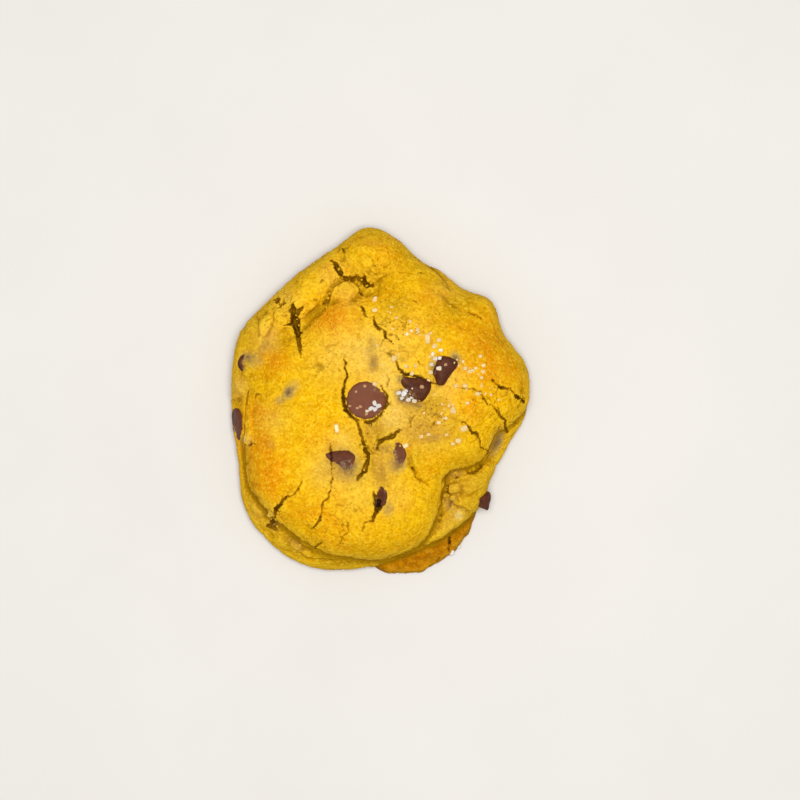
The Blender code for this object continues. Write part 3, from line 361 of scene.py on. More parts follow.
# Tan patches, where chocolate has stained the crumb: centre, half-axes, bearing, strength.
STAINS = (
    ((0.2, -22.6), (2.6, 7.0), 3, 1.0), ((-0.6, -15.4), (2.4, 2.0), 0, 1.0), ((-3.0, -8.6), (4.0, 3.0), 0, 0.7),
    ((4.0, -18.6), (3.0, 3.6), 0, 0.6), ((-37.2, 19.6), (4.6, 1.8), 58, 0.9), ((-48.4, 4.6), (2.2, 4.4), 0, 0.8),
    ((-28.6, -47.6), (4.0, 1.6), -35, 0.8), ((14.0, -10.0), (9.0, 5.0), 0, 0.8), ((10.6, -1.4), (3.4, 2.6), 0, 0.6),
    ((19.0, -4.0), (4.0, 3.4), 0, 0.4), ((-2.0, 13.4), (1.6, 3.4), 0, 0.6), ((-2.0, 52.6), (4.0, 1.2), 0, 0.5),
    ((-36.0, -14.0), (2.0, 1.6), 0, 0.5), ((24.0, -24.6), (3.4, 1.4), 10, 0.8), ((26.0, -29.6), (5.0, 3.4), 30, 0.4),
    ((22.0, -40.0), (4.0, 2.0), 50, 0.4), ((-41.6, -36.0), (3.0, 2.0), -50, 0.5), ((-14.0, -22.0), (6.0, 4.0), -30, 0.5),
    ((-42.0, 20.0), (3.0, 5.0), 0, 0.4), ((0.0, -9.0), (3.0, 3.0), 0, 0.5), ((-15.4, -17.0), (4.0, 3.0), -20, 0.4),
)

# Where a film of dough and crumbs lies over a chip: centre, spread, strength.
FILMS = (
    ((-10.4, -21.6), 2.8, 0.8), ((-13.0, -21.4), 1.6, 0.5), ((5.8, -20.6), 2.4, 0.8), ((4.2, -16.4), 1.8, 0.9),
    ((8.0, 2.0), 2.6, 1.0), ((11.0, 0.4), 1.8, 0.9), ((7.4, 7.6), 1.4, 0.5), ((-43.0, 14.0), 2.2, 1.0),
    ((-49.0, -8.8), 1.3, 1.0), ((0.2, -2.6), 1.3, 0.4), ((25.0, 14.2), 1.2, 0.6), ((2.0, -29.0), 0.9, 0.5),
    ((17.6, 9.6), 1.2, 0.6),
)

# Salt grains placed one by one: x, y, length, width, turn.
SALT_PLACED = (
    (-14.2, -8.6, 2.7, 1.3, 100), (-1.8, 33.6, 2.3, 1.5, 85), (-1.8, 30.2, 1.7, 1.3, 10), (8.8, 22.3, 1.3, 1.1, 30),
    (10.2, 23.3, 1.2, 1.0, 0), (12.2, 23.7, 1.3, 1.0, 60), (15.5, 20.7, 2.9, 1.7, 95), (19.2, 20.3, 1.5, 1.2, 20),
    (17.8, 18.3, 1.8, 1.3, 50), (19.8, 17.0, 1.5, 1.2, 0), (17.2, 15.7, 1.5, 1.2, 70), (16.5, 9.7, 1.5, 1.3, 0),
    (8.5, 11.7, 1.3, 1.0, 0), (10.5, 9.3, 1.4, 1.1, 45), (4.5, 14.3, 2.0, 1.6, 60), (32.8, 15.0, 1.2, 1.0, 0),
    (33.8, 12.0, 1.4, 1.2, 20), (33.8, 10.0, 1.3, 1.0, 50), (33.2, 8.0, 1.2, 1.0, 0), (27.8, 11.0, 1.4, 1.2, 0),
    (29.2, 10.0, 1.3, 1.1, 40), (30.2, 10.3, 1.2, 1.0, 0), (24.8, 5.3, 1.3, 1.1, 30), (27.8, 5.3, 1.5, 1.2, 0),
    (31.8, 2.7, 1.5, 1.2, 0), (28.5, -0.3, 1.3, 1.0, 0), (23.8, -2.7, 2.3, 1.7, 100), (19.2, -6.7, 1.4, 1.1, 0),
    (21.5, -5.3, 1.2, 1.0, 20), (27.5, -8.7, 2.2, 1.8, 20), (25.5, -12.7, 1.7, 1.5, 0), (23.8, -13.7, 1.3, 1.0, 0),
    (13.5, -11.3, 1.3, 1.1, 0), (15.8, -10.7, 1.2, 1.0, 0), (21.8, -10.7, 1.2, 0.9, 0), (8.2, -14.3, 2.2, 1.3, 25),
    (18.0, 14.2, 1.5, 1.2, 0), (19.5, 14.4, 1.3, 1.1, 0), (16.8, 12.3, 1.4, 1.1, 0), (19.2, 11.0, 1.6, 1.3, 0),
    (-0.5, -1.2, 1.7, 1.3, 20), (-1.8, -0.4, 1.6, 1.2, 110), (-3.0, -2.1, 1.8, 1.2, 30), (-1.6, -2.4, 1.4, 1.1, 60),
    (-1.7, 5.9, 1.7, 1.2, -30), (-4.3, -3.0, 1.1, 0.9, 0), (6.1, 3.0, 1.7, 1.2, 20), (7.8, 2.7, 1.8, 1.4, 60),
    (8.6, 3.8, 1.2, 0.9, 0), (7.1, 1.3, 1.2, 1.0, 30), (9.2, 0.7, 1.5, 1.2, 10), (11.2, 0.3, 1.5, 1.2, 0),
    (10.2, 1.5, 1.0, 0.8, 20), (24.0, -50.6, 1.6, 1.2, 50), (26.2, -48.6, 1.3, 0.9, 30),
)
# Where the grains of salt lie dry and white: centre, spread, strength.
WHITE_SALT = (((-1.8, -1.6), 3.0, 1.0), ((8.4, 2.4), 4.0, 1.0), ((18.6, 13.0), 3.0, 0.9), ((25.0, -50.0), 4.0, 1.0))

# Where crumbs lie on chocolate and look tan: centre, spread, strength.
CHIP_CRUMBS = (((-5.0, 0.6), 7.0, 1.4), ((14.0, 4.6), 2.4, 1.2), ((21.4, 12.2), 2.4, 1.2), ((9.0, 1.8), 3.4, 0.8))

CRUMBS_PLACED = (
    (-5.0, 5.2, 1.0, 0.9, 0), (-7.9, 3.4, 0.8, 0.7, 40), (-7.4, -1.9, 1.1, 0.7, 20), (-6.4, -1.5, 1.1, 0.7, -25),
    (-9.9, -1.3, 0.9, 0.7, 0), (-4.5, -3.9, 1.0, 0.8, 30),
    (13.6, 5.0, 1.3, 1.1, 0), (21.4, 12.2, 1.0, 0.8, 20), (-44.0, -12.2, 1.3, 1.0, 80), (-44.6, -13.4, 1.0, 0.8, 10),
    (-8.0, 31.6, 1.0, 0.8, 0), (-7.2, 21.6, 0.8, 1.6, 0), (-6.6, 24.0, 1.2, 0.9, 40), (23.0, 31.6, 0.9, 0.7, 0),
    (6.8, 17.0, 1.2, 1.0, 0), (8.0, 31.6, 1.3, 1.1, 0), (12.6, 32.6, 1.1, 0.8, 0), (24.0, -31.5, 1.6, 0.8, 20),
    (-16.6, 35.8, 0.9, 0.7, 0), (-13.6, 43.9, 0.9, 0.7, 20), (-19.4, 36.0, 0.9, 0.7, 0),
)
CRUMBS_LOOSE = (
    ((9.0, 1.0), 3.0, 7), ((-28.0, 27.0), 4.0, 7), ((-5.0, 40.0), 4.0, 5), ((-3.6, -10.0), 4.0, 8),
    ((-4.0, -18.0), 3.4, 5), ((24.0, -6.0), 8.0, 9), ((24.4, -25.0), 3.0, 3), ((-36.0, -39.0), 3.0, 5),
    ((-34.0, 32.0), 3.4, 5), ((-14.0, 43.0), 3.0, 4), ((2.0, -11.0), 4.0, 4), ((16.0, -6.0), 6.0, 6),
    ((22.6, -34.6), 2.4, 3), ((-20.0, 33.0), 5.0, 4), ((-28.0, -47.0), 5.0, 4),
)
SALT_LOOSE = (
    ((8.0, 20.0), 9.0, 10), ((29.0, 9.0), 6.0, 14), ((22.0, -2.0), 9.0, 10), ((3.0, 27.0), 7.0, 5),
    ((14.0, 10.0), 6.0, 6), ((36.0, 2.0), 6.0, 4),
)


# ---------------------------------------------------------------------------------------------------------------
# Heights over the plan
# ---------------------------------------------------------------------------------------------------------------
def radius_at(outline, bearings):
    """The radius at each bearing of the smooth closed curve through an outline's points."""
    known, radii = np.array(outline, dtype=float).T
    known = np.concatenate((known[-2:] - 360, known, known[:2] + 360))
    radii = np.concatenate((radii[-2:], radii, radii[:2]))
    slopes = np.gradient(radii, known)
    bearings = np.mod(bearings, 360)
    i = np.searchsorted(known, bearings, side="right") - 1
    gap = known[i + 1] - known[i]
    share = (bearings - known[i]) / gap
    eased = share * share * (3 - 2 * share)
    leave = share * (1 - share) ** 2 * gap * slopes[i]
    arrive = share * share * (share - 1) * gap * slopes[i + 1]
    return radii[i] + (radii[i + 1] - radii[i]) * eased + leave + arrive


def distance_to_line(points, start, end):
    """Each point's distance to a segment, and how far along the segment its nearest point lies, from 0 to 1."""
    along = end - start
    share = np.clip((points - start) @ along / max(along @ along, 1e-9), 0, 1)
    nearest = start + share[:, None] * along
    return np.linalg.norm(points - nearest, axis=1), share


def depth_inside(points, outline):
    """How far each point lies inside an outline. It is negative outside."""
    bearings = np.arange(0, 360, 3.0)
    radii = radius_at(outline, bearings)
    ring = np.column_stack((radii * np.cos(np.radians(bearings)), radii * np.sin(np.radians(bearings))))
    distance = np.full(len(points), np.inf)
    for start, end in zip(ring, np.roll(ring, -1, axis=0)):
        distance = np.minimum(distance, distance_to_line(points, start, end)[0])
    bearings = np.degrees(np.arctan2(points[:, 1], points[:, 0]))
    inside = np.linalg.norm(points, axis=1) <= radius_at(outline, bearings)
    return np.where(inside, distance, -distance)


def round_edge(depth, width, power):
    """Rises from 0 at an edge to 1 at `width` inside it, as a superellipse does."""
    share = np.clip(depth / width, 0, 1)
    return (1 - (1 - share) ** power) ** (1 / power)


def smooth_max(a, b, blend):
    """The larger of two heights, with a fillet where they cross."""
    near = np.maximum(blend - np.abs(a - b), 0) / blend
    return np.maximum(a, b) + near * near * blend / 4


def gaussians(points, spots):
    """The sum of round spots of (centre, spread, strength) at each point."""
    total = np.zeros(len(points))
    for centre, spread, strength in spots:
        distance = np.linalg.norm(points - np.array(centre), axis=1)
        total += strength * np.exp(-((distance / spread) ** 2))
    return total


def lobe_height(points, centre, half_axes, bearing, top):
    """The height of one rounded lobe. Outside the lobe it is zero."""
    angle = math.radians(bearing)
    offset = points - np.array(centre)
    along = offset @ np.array((math.cos(angle), math.sin(angle)))
    across = offset @ np.array((-math.sin(angle), math.cos(angle)))
    reach = np.sqrt((along / half_axes[0]) ** 2 + (across / half_axes[1]) ** 2)
    depth = (1 - reach) * half_axes[1]
    height = LOBE_FOOT + (top - LOBE_FOOT) * round_edge(depth, 0.8 * half_axes[1], 2.0)
    return np.where(reach < 1, height, 0)


def layer_heights(points, inset):
    """The heights of the body, of the crown and of each lobe, one row each."""
    bearings = np.degrees(np.arctan2(points[:, 1], points[:, 0]))
    level = radius_at(BODY_LEVEL, bearings)
    body = EDGE_HEIGHT + (level - EDGE_HEIGHT) * round_edge(inset, WALL_SPREAD, 1.4)
    rise = round_edge(depth_inside(points, CROWN_OUTLINE), CROWN_ROUND, CROWN_POWER)
    crown = np.where(rise > 0, CROWN_FOOT + (CROWN_TOP - CROWN_FOOT + gaussians(points, RELIEF)) * rise, 0)
    return np.array([body, crown] + [lobe_height(points, *lobe) for lobe in LOBES.values()])


def dough_height(points):
    """The height of the dough's upper surface over each point of the plan, before cracks."""
    inset = depth_inside(points, BODY_OUTLINE)
    layers = layer_heights(points, inset)
    blend = BLEND + SOFT_BLEND * np.clip(gaussians(points, BLENDED), 0, 1)
    height = layers[0]
    for layer in layers[1:]:
        height = smooth_max(height, layer, blend)
    limit = EDGE_HEIGHT + (CEILING - EDGE_HEIGHT) * round_edge(inset, EDGE_ROUND, 2.0)
    fillet = EDGE_HEIGHT * np.clip(1 + inset / FOOT_FILLET, 0, 1)
    body = np.where(inset > 0, -smooth_max(-height, -limit, SHOULDER_ROUND), fillet)
    spread = depth_inside(points, FOOT_OUTLINE)
    foot = FOOT_EDGE + (FOOT_THICKNESS - FOOT_EDGE) * round_edge(spread, FOOT_ROUND, 2.0)
    return np.maximum(body, np.where(spread > -0.01, foot, 0))


# ---------------------------------------------------------------------------------------------------------------
# Mesh helpers
# ---------------------------------------------------------------------------------------------------------------
def new_object(name, vertices, faces):
    """A smooth-shaded object from points in millimetres."""
    mesh = bpy.data.meshes.new(name)
    mesh.from_pydata([tuple(v) for v in np.asarray(vertices) * MM], [], faces)
    mesh.shade_smooth()
    made = bpy.data.objects.new(name, mesh)
    bpy.context.scene.collection.objects.link(made)
    return made


def apply_modifiers(piece):
    """Replaces a piece's mesh by what its modifiers make of it."""
    bpy.context.view_layer.update()
    evaluated = piece.evaluated_get(bpy.context.evaluated_depsgraph_get())
    mesh = bpy.data.meshes.new_from_object(evaluated)
    piece.modifiers.clear()
    piece.data = mesh
    mesh.shade_smooth()


def points_of(mesh):
    """A mesh's points in millimetres."""
    points = np.empty(len(mesh.vertices) * 3)
    mesh.vertices.foreach_get("co", points)
    return points.reshape(-1, 3) / MM


def normals_of(mesh):
    """A mesh's vertex normals."""
    normals = np.empty(len(mesh.vertices) * 3)
    mesh.vertex_normals.foreach_get("vector", normals)
    return normals.reshape(-1, 3)


def move_points(mesh, points):
    """Puts a mesh's points where they are given, in millimetres."""
    mesh.vertices.foreach_set("co", (points * MM).ravel())
    mesh.update()


def set_attribute(mesh, name, values):
    """Writes one number per vertex for the material to read."""
    layer = mesh.attributes.new(name, "FLOAT", "POINT")
    layer.data.foreach_set("value", np.clip(values, 0, 1).astype(np.float32))


def smooth_step(low, high, values):
    """0 below low, 1 above high, and eased between them."""
    share = np.clip((values - low) / (high - low), 0, 1)
    return share * share * (3 - 2 * share)


def scramble(cells, seed):
    """A repeatable whole number for each cell of a unit grid."""
    x, y, z = (cells[..., i].astype(np.uint32) for i in range(3))
    mixed = x * np.uint32(0x9E3779B1) ^ y * np.uint32(0x85EBCA77) ^ z * np.uint32(0xC2B2AE3D)
    mixed ^= np.uint32(seed * 7919 + 12345)
    for shift, factor in ((15, 0x2C1B3C6D), (12, 0x297A2D39)):
        mixed = (mixed ^ (mixed >> np.uint32(shift))) * np.uint32(factor)
    return mixed ^ (mixed >> np.uint32(15))


def noise_at(points, size, seed):
    """Smooth gradient noise from about -1 to 1 with features about `size` across."""
    place = points / size + 1000.0
    cells = np.floor(place).astype(np.int64)
    inner = place - cells
    eased = inner ** 3 * (inner * (inner * 6 - 15) + 10)
    total = np.zeros(len(points))
    for corner in np.ndindex(2, 2, 2):
        drawn = scramble(cells + corner, seed)
        offset = inner - corner
        slope = sum(((drawn >> np.uint32(10 * i)) % 1024 / 511.5 - 1) * offset[:, i] for i in range(3))
        total += slope * np.prod(np.where(np.array(corner) == 1, eased, 1 - eased), axis=1)
    return total * 1.7


def cell_at(points, size, seed):
    """Distance to the nearest of scattered points about `size` apart, as a share of that size."""
    place = points / size + 1000.0
    cells = np.floor(place).astype(np.int64)
    nearest = np.full(len(points), 9.0)
    for step in np.ndindex(3, 3, 3):
        around = cells + np.array(step) - 1
        drawn = scramble(around, seed)
        spot = around + np.stack([(drawn >> np.uint32(10 * i)) % 1024 / 1023 for i in range(3)], axis=1)
        nearest = np.minimum(nearest, np.sum((spot - place) ** 2, axis=1))
    return np.sqrt(nearest)


# ---------------------------------------------------------------------------------------------------------------
# The dough
# ---------------------------------------------------------------------------------------------------------------
BEARINGS = 540
RINGS = 170
UNDERSIDE_STEPS = 6
VOXEL = 0.25
DOUGH_TRIANGLES = 192000
TOP = 29.4


def loft_dough():
    """The dough's main form as a closed loft, dense enough for the fine surface."""
    bearings = np.arange(BEARINGS) * 360 / BEARINGS
    outer = np.maximum(radius_at(BODY_OUTLINE, bearings), radius_at(FOOT_OUTLINE, bearings))
    angles = np.radians(bearings)
    directions = np.column_stack((np.cos(angles), np.sin(angles)))
    shares = 1 - (1 - np.arange(1, RINGS + 1) / RINGS) ** 1.6
    plan = (directions[None] * outer[None, :, None] * shares[:, None, None]).reshape(-1, 2)
    rings = np.column_stack((plan, dough_height(plan * 0.9995))).reshape(RINGS, BEARINGS, 3)
    edge_height = rings[-1][:, 2]
    lower = []
    for step in range(1, UNDERSIDE_STEPS + 1):
        turn = math.pi / 2 * step / UNDERSIDE_STEPS
        radii = outer - TUCK * edge_height * (1 - math.cos(turn))
        heights = edge_height * (1 - math.sin(turn)) if step < UNDERSIDE_STEPS else 0 * edge_height
        lower.append(np.column_stack((directions * radii[:, None], heights)))
    rings = list(rings) + lower
    middle = (0.0, 0.0, float(dough_height(np.array([[0.0, 0.0]]))[0]))
    vertices = np.concatenate(rings + [[middle]])
    faces = [(len(vertices) - 1, i, (i + 1) % BEARINGS) for i in range(BEARINGS)]
    for ring in range(len(rings) - 1):
        for i in range(BEARINGS):
            a = ring * BEARINGS + i
            b = ring * BEARINGS + (i + 1) % BEARINGS
            faces.append((a, a + BEARINGS, b + BEARINGS, b))
    last = (len(rings) - 1) * BEARINGS
    faces.append(tuple(last + i for i in reversed(range(BEARINGS))))
    return new_object("dough_looks", vertices, faces)


CRACK_SOFTNESS = 0.6


def crack_fields(points, cracks):
    """How deep the cracks cut, how far inside them each point is, how strong they are, their lips and nearness."""
    plan = points[:, :2]
    wander = np.column_stack((noise_at(points, 2.2, 1), noise_at(points, 2.2, 2))) * 0.4
    wander += np.column_stack((noise_at(points, 0.8, 3), noise_at(points, 0.8, 4))) * 0.28
    pinch = noise_at(points, 1.3, 5)
    warped = plan + wander
    depth = np.zeros(len(points))
    inside = np.zeros(len(points))
    lip = np.zeros(len(points))
    near = np.zeros(len(points))
    for line in cracks:
        line = np.array(line)
        reach = 4.0
        low = line[:, :2].min(axis=0) - reach
        high = line[:, :2].max(axis=0) + reach
        chosen = np.nonzero(np.all((warped > low) & (warped < high), axis=1))[0]
        for start, end in zip(line[:-1], line[1:]):
            distance, share = distance_to_line(warped[chosen], start[:2], end[:2])
            half_width = start[2] + share * (end[2] - start[2])
            half_width = half_width + (0.12 + 0.25 * half_width) * pinch[chosen]
            deep = start[3] + share * (end[3] - start[3])
            cut = np.clip(1 - distance / (np.maximum(half_width, 0.05) + 0.15), 0, 1)
            depth[chosen] = np.maximum(depth[chosen], 0.8 * deep * cut ** 0.8)
            level = 0.5 + (half_width - distance) / (2 * CRACK_SOFTNESS)
            inside[chosen] = np.maximum(inside[chosen], np.clip(level, 0, 1) * np.clip(0.75 + deep / 8, 0, 1))
            beside = np.exp(-(((distance - 1.2 * half_width - 0.4) / 0.7) ** 2))
            lip[chosen] = np.maximum(lip[chosen], beside * np.clip(deep / 4, 0, 1))
            near[chosen] = np.maximum(near[chosen], np.exp(-((distance / 1.5) ** 2)) * np.clip(deep / 2, 0, 1))
    return depth, inside, lip, near


class PlanTable:
    """Slow fields over the plan, worked out once on a grid and read between its points."""

    STEP = 0.4
    HALF = 64.0

    def __init__(self):
        line = np.arange(-self.HALF, self.HALF + self.STEP, self.STEP)
        x, y = np.meshgrid(line, line, indexing="ij")
        plan = np.column_stack((x.ravel(), y.ravel()))
        layers = np.sort(layer_heights(plan, depth_inside(plan, BODY_OUTLINE)), axis=0)
        gap = (layers[-1] - layers[-2]).reshape(x.shape)
        slope = np.hypot(self.steepest(gap), self.steepest(gap.T).T)
        self.seam = np.exp(-((gap / np.maximum(slope, 0.3)) ** 2)) * smooth_step(0.3, 1.0, slope)
        self.crown = depth_inside(plan, CROWN_OUTLINE).reshape(x.shape)

    def steepest(self, values):
        """The steeper of the slopes to either neighbour along the first axis."""
        change = np.abs(np.diff(values, axis=0)) / self.STEP
        return np.maximum(np.vstack((change[:1], change)), np.vstack((change, change[-1:])))

    def read(self, table, points):
        place = np.clip((points[:, :2] + self.HALF) / self.STEP, 0, len(table) - 2.001)
        cell = place.astype(int)
        u, v = (place - cell).T
        i, j = cell.T
        low = table[i, j] * (1 - v) + table[i, j + 1] * v
        high = table[i + 1, j] * (1 - v) + table[i + 1, j + 1] * v
        return low * (1 - u) + high * u


def craze_field(points):
    """Hairline cracks along the lines where slow noise crosses zero, broken up by a second noise."""
    warped = points + 0.6 * np.column_stack([noise_at(points, 1.5, seed) for seed in (31, 32, 33)])
    lines = np.zeros(len(points))
    for size, seed in ((6.5, 34), (3.6, 36)):
        line = np.clip(1 - np.abs(noise_at(warped, size, seed)) * size / 0.5, 0, 1)
        lines = np.maximum(lines, line * smooth_step(0.0, 0.3, noise_at(points, 0.8 * size, seed + 1)))
    return lines


def fold_depth(points):
    """How deep the soft folds between the dough's bulges are."""
    total = np.zeros(len(points))
    warped = points[:, :2] + 0.7 * np.column_stack((noise_at(points, 4.0, 21), noise_at(points, 4.0, 22)))
    for line in FOLDS:
        line = np.array(line)
        for start, end in zip(line[:-1], line[1:]):
            distance, share = distance_to_line(warped, start[:2], end[:2])
            width = start[2] + share * (end[2] - start[2])
            depth = start[3] + share * (end[3] - start[3])
            total = np.maximum(total, depth * np.exp(-((distance / width) ** 2)))
    return total


def knob_height(points):
    """How far the rounded knobs stand out. They meet the dough around them in a crease."""
    total = np.zeros(len(points))
    warped = points[:, :2] + 0.35 * np.column_stack((noise_at(points, 2.4, 25), noise_at(points, 2.4, 26)))
    for centre, half_axes, bearing, height in KNOBS:
        angle = math.radians(bearing)
        offset = warped - np.array(centre)
        along = offset @ np.array((math.cos(angle), math.sin(angle)))
        across = offset @ np.array((-math.sin(angle), math.cos(angle)))
        reach = (along / half_axes[0]) ** 2 + (across / half_axes[1]) ** 2
        dome = np.clip(1 - reach, 0, 1) ** 0.8
        moat = 0.2 * np.exp(-(((np.sqrt(reach) - 1.15) * half_axes[1] / 0.8) ** 2))
        total = np.where(reach < 1, np.maximum(total, height * dome), total - height * moat)
    return total


def oval_spots(points, spots):
    """The strongest of oval spots of (centre, half-axes, bearing, strength) at each point."""
    total = np.zeros(len(points))
    for centre, half_axes, bearing, strength in spots:
        angle = math.radians(bearing)
        offset = points[:, :2] - np.array(centre)
        along = offset @ np.array((math.cos(angle), math.sin(angle)))
        across = offset @ np.array((-math.sin(angle), math.cos(angle)))
        total = np.maximum(total, strength * np.exp(-((along / half_axes[0]) ** 2 + (across / half_axes[1]) ** 2)))
    return total


def blur(values, spread):
    """A grid of heights with a Gaussian blur of `spread` cells."""
    reach = int(3 * spread)
    weights = np.exp(-((np.arange(-reach, reach + 1) / spread) ** 2) / 2)
    weights /= weights.sum()
    for axis in (0, 1):
        padded = np.pad(values, [(reach, reach) if a == axis else (0, 0) for a in (0, 1)], mode="edge")
        length = values.shape[axis]
        values = sum(w * np.take(padded, range(i, i + length), axis=axis) for i, w in enumerate(weights))
    return values


def stand_out(table, points, reaches):
    """How far each point stands above the mean height around it, for each reach in millimetres."""
    size = len(table.crown)
    cell = np.clip(np.rint((points[:, :2] + table.HALF) / table.STEP).astype(int), 0, size - 1)
    heights = np.zeros((size, size))
    np.maximum.at(heights, (cell[:, 0], cell[:, 1]), points[:, 2])
    return [points[:, 2] - table.read(blur(heights, reach / table.STEP), points) for reach in reaches]


def sculpt_dough(piece):
    """Gives the dough its lumps, seams, cracks and pits, and notes for its material where they are."""
    mesh = piece.data
    points = points_of(mesh)
    normals = normals_of(mesh)
    plan = points[:, :2]
    table = PlanTable()
    bearings = np.degrees(np.arctan2(plan[:, 1], plan[:, 0]))
    radius = np.linalg.norm(plan, axis=1)
    beyond = radius - radius_at(BODY_OUTLINE, bearings)
    free = smooth_step(0.3, 2.5, points[:, 2])
    upward = smooth_step(0.1, 0.8, normals[:, 2])
    torn = np.clip(gaussians(plan, TORN), 0, 1)
    depth, inside, lip, near = crack_fields(points, CRACKS.values())
    crazed = np.clip(gaussians(plan, CRAZED) + 0.6 * near + 0.4 * (1 - upward), 0.12, 1)
    craze = craze_field(points) * crazed
    seam = table.read(table.seam, points + 0.5 * noise_at(points, 3.0, 16)[:, None])
    seam *= (0.75 + 0.5 * noise_at(points, 5.0, 18)) * (1 - np.clip(gaussians(plan, BLENDED), 0, 1))

    warped = points + 1.1 * np.column_stack([noise_at(points, 2.4, seed) for seed in (41, 42, 43)])
    swell = (0.5 * noise_at(points, 9.0, 11) + 0.3 * noise_at(points, 4.4, 12)) * (0.4 + 0.6 * upward)
    lumps = (0.16 + 0.8 * torn + 0.22 * crazed) * (0.4 - cell_at(warped, 3.4, 17) ** 2)
    lumps += (0.13 + 0.5 * torn + 0.14 * crazed) * (0.4 - cell_at(warped, 1.6, 19) ** 2)
    crumb = (0.11 + 0.22 * torn + 0.08 * near) * noise_at(points, 0.95, 14)
    pits = smooth_step(0.24, 0.08, cell_at(points, 2.4, 15)) * (0.16 + 0.4 * torn + 0.3 * near + 0.3 * crazed)
    relief = lumps + crumb - pits
    folds = fold_depth(points)
    knobs = knob_height(points)
    lift = swell + relief + 0.25 * lip - 0.5 * craze - 0.6 * seam - folds + knobs
    soft = np.clip(gaussians(plan, BLENDED), 0, 1) * upward * smooth_step(1.5, 4.5, -beyond)
    settled = stand_out(table, points, (1.8,))[0] * soft
    collar = gaussians(plan, COLLARS) * (0.9 + 0.2 * noise_at(points, 2.6, 20))

    foot = np.maximum(smooth_step(-0.6, 1.4, beyond) * smooth_step(5.0, 3.4, points[:, 2]),
                      smooth_step(3.4, 1.6, points[:, 2]))
    edge = smooth_step(3.0, 0.3, radius_at(FOOT_OUTLINE, bearings) - radius) * smooth_step(0.3, 1.4, beyond)
    ragged = edge * (0.25 * noise_at(points, 1.5, 23) + 0.6 * noise_at(points, 4.2, 24) - 0.5)

    moved = points + normals * (lift * free)[:, None]
    moved[:, 2] += (collar - depth - settled) * free
    moved[:, :2] *= (1 + ragged / np.maximum(radius, 1))[:, None]
    moved[:, 2] = np.clip(moved[:, 2], 0, TOP + 0.3 * np.maximum(moved[:, 2] - TOP, 0))
    move_points(mesh, moved)

    close, wide = stand_out(table, moved, (1.0, 3.4))
    close -= np.median(close)
    wide -= np.median(wide)
    # Painted shade: the hollow attribute darkens dents below the mean height around them, where shade would fall.
    hollow = 0.9 * smooth_step(0.02, 0.55, -close) + 0.2 * smooth_step(0.02, 0.5, -relief)
    set_attribute(mesh, "crack", inside)
    set_attribute(mesh, "craze", craze)
    set_attribute(mesh, "hollow", hollow)
    # Painted highlight: the crest attribute lightens what stands above the mean height around it and the lips of
    # cracks.
    set_attribute(mesh, "crest", smooth_step(0.1, 0.6, close) + 0.3 * lip)
    set_attribute(mesh, "near_crack", np.maximum(near, 0.7 * crazed))
    set_attribute(mesh, "torn", torn)
    set_attribute(mesh, "browned", gaussians(plan, BROWNED))
    set_attribute(mesh, "pale", 0.5 * gaussians(plan, PALE))
    # The dull colour also takes painted shade on steep walls, which face away from the overhead light, and in broad
    # hollows.
    set_attribute(mesh, "dull_and_shade", 0.8 * gaussians(plan, DULL_AND_SHADE) + 0.4 * (1 - upward) + smooth_step(0.1, 1.6, -wide))
    set_attribute(mesh, "shaded", gaussians(plan, SHADED))
    # Painted shade: where the dough's colour is darkened to stand for shade.
    set_attribute(mesh, "painted_shade", gaussians(plan, PAINTED_SHADE))
    set_attribute(mesh, "smear", oval_spots(points, SMEARS) * upward)
    set_attribute(mesh, "stain", oval_spots(points, STAINS) * upward)
    set_attribute(mesh, "foot", foot)
    set_attribute(mesh, "rim", edge * smooth_step(2.0, 0.4, radius_at(FOOT_OUTLINE, bearings) - radius))


def build_dough(material):
    dough = loft_dough()
    remesh = dough.modifiers.new("even", "REMESH")
    remesh.mode = "VOXEL"
    remesh.voxel_size = VOXEL * MM
    remesh.use_smooth_shade = True
    smooth = dough.modifiers.new("smooth", "SMOOTH")
    smooth.factor = 0.5
    smooth.iterations = 6
    apply_modifiers(dough)
    sculpt_dough(dough)
    thin = dough.modifiers.new("thin", "DECIMATE")
    thin.ratio = DOUGH_TRIANGLES / (2 * len(dough.data.polygons))
    apply_modifiers(dough)
    dough.data.materials.append(material)
    return dough


# ---------------------------------------------------------------------------------------------------------------
# Chips
# ---------------------------------------------------------------------------------------------------------------
BLOOM = {"chip_centre": 0.9, "chip_crescent": 0.6, "chip_south_west": 0.35, "chip_cleft": 0.3, "chip_west_side": 0.4}
CHIP_CRACKS = {"chip_south_west": ("south_b",), "chip_cleft": ("south_gap",)}

# Where a chip is fuller than its solid: centre, spread, height.
CHIP_SWELLS = {
    "chip_tumbled": (((8.4, 6.6), 2.2, 0.9), ((10.4, 3.0), 2.6, 0.8)),
    "chip_east": (((18.0, 9.6), 2.2, 0.9), ((19.4, 6.6), 1.8, 1.0)),
    "chip_centre": (((0.4, 0.6), 3.0, 0.8),),
    "chip_south_east_side": (((36.7, -36.2), 1.1, 1.2),),
}


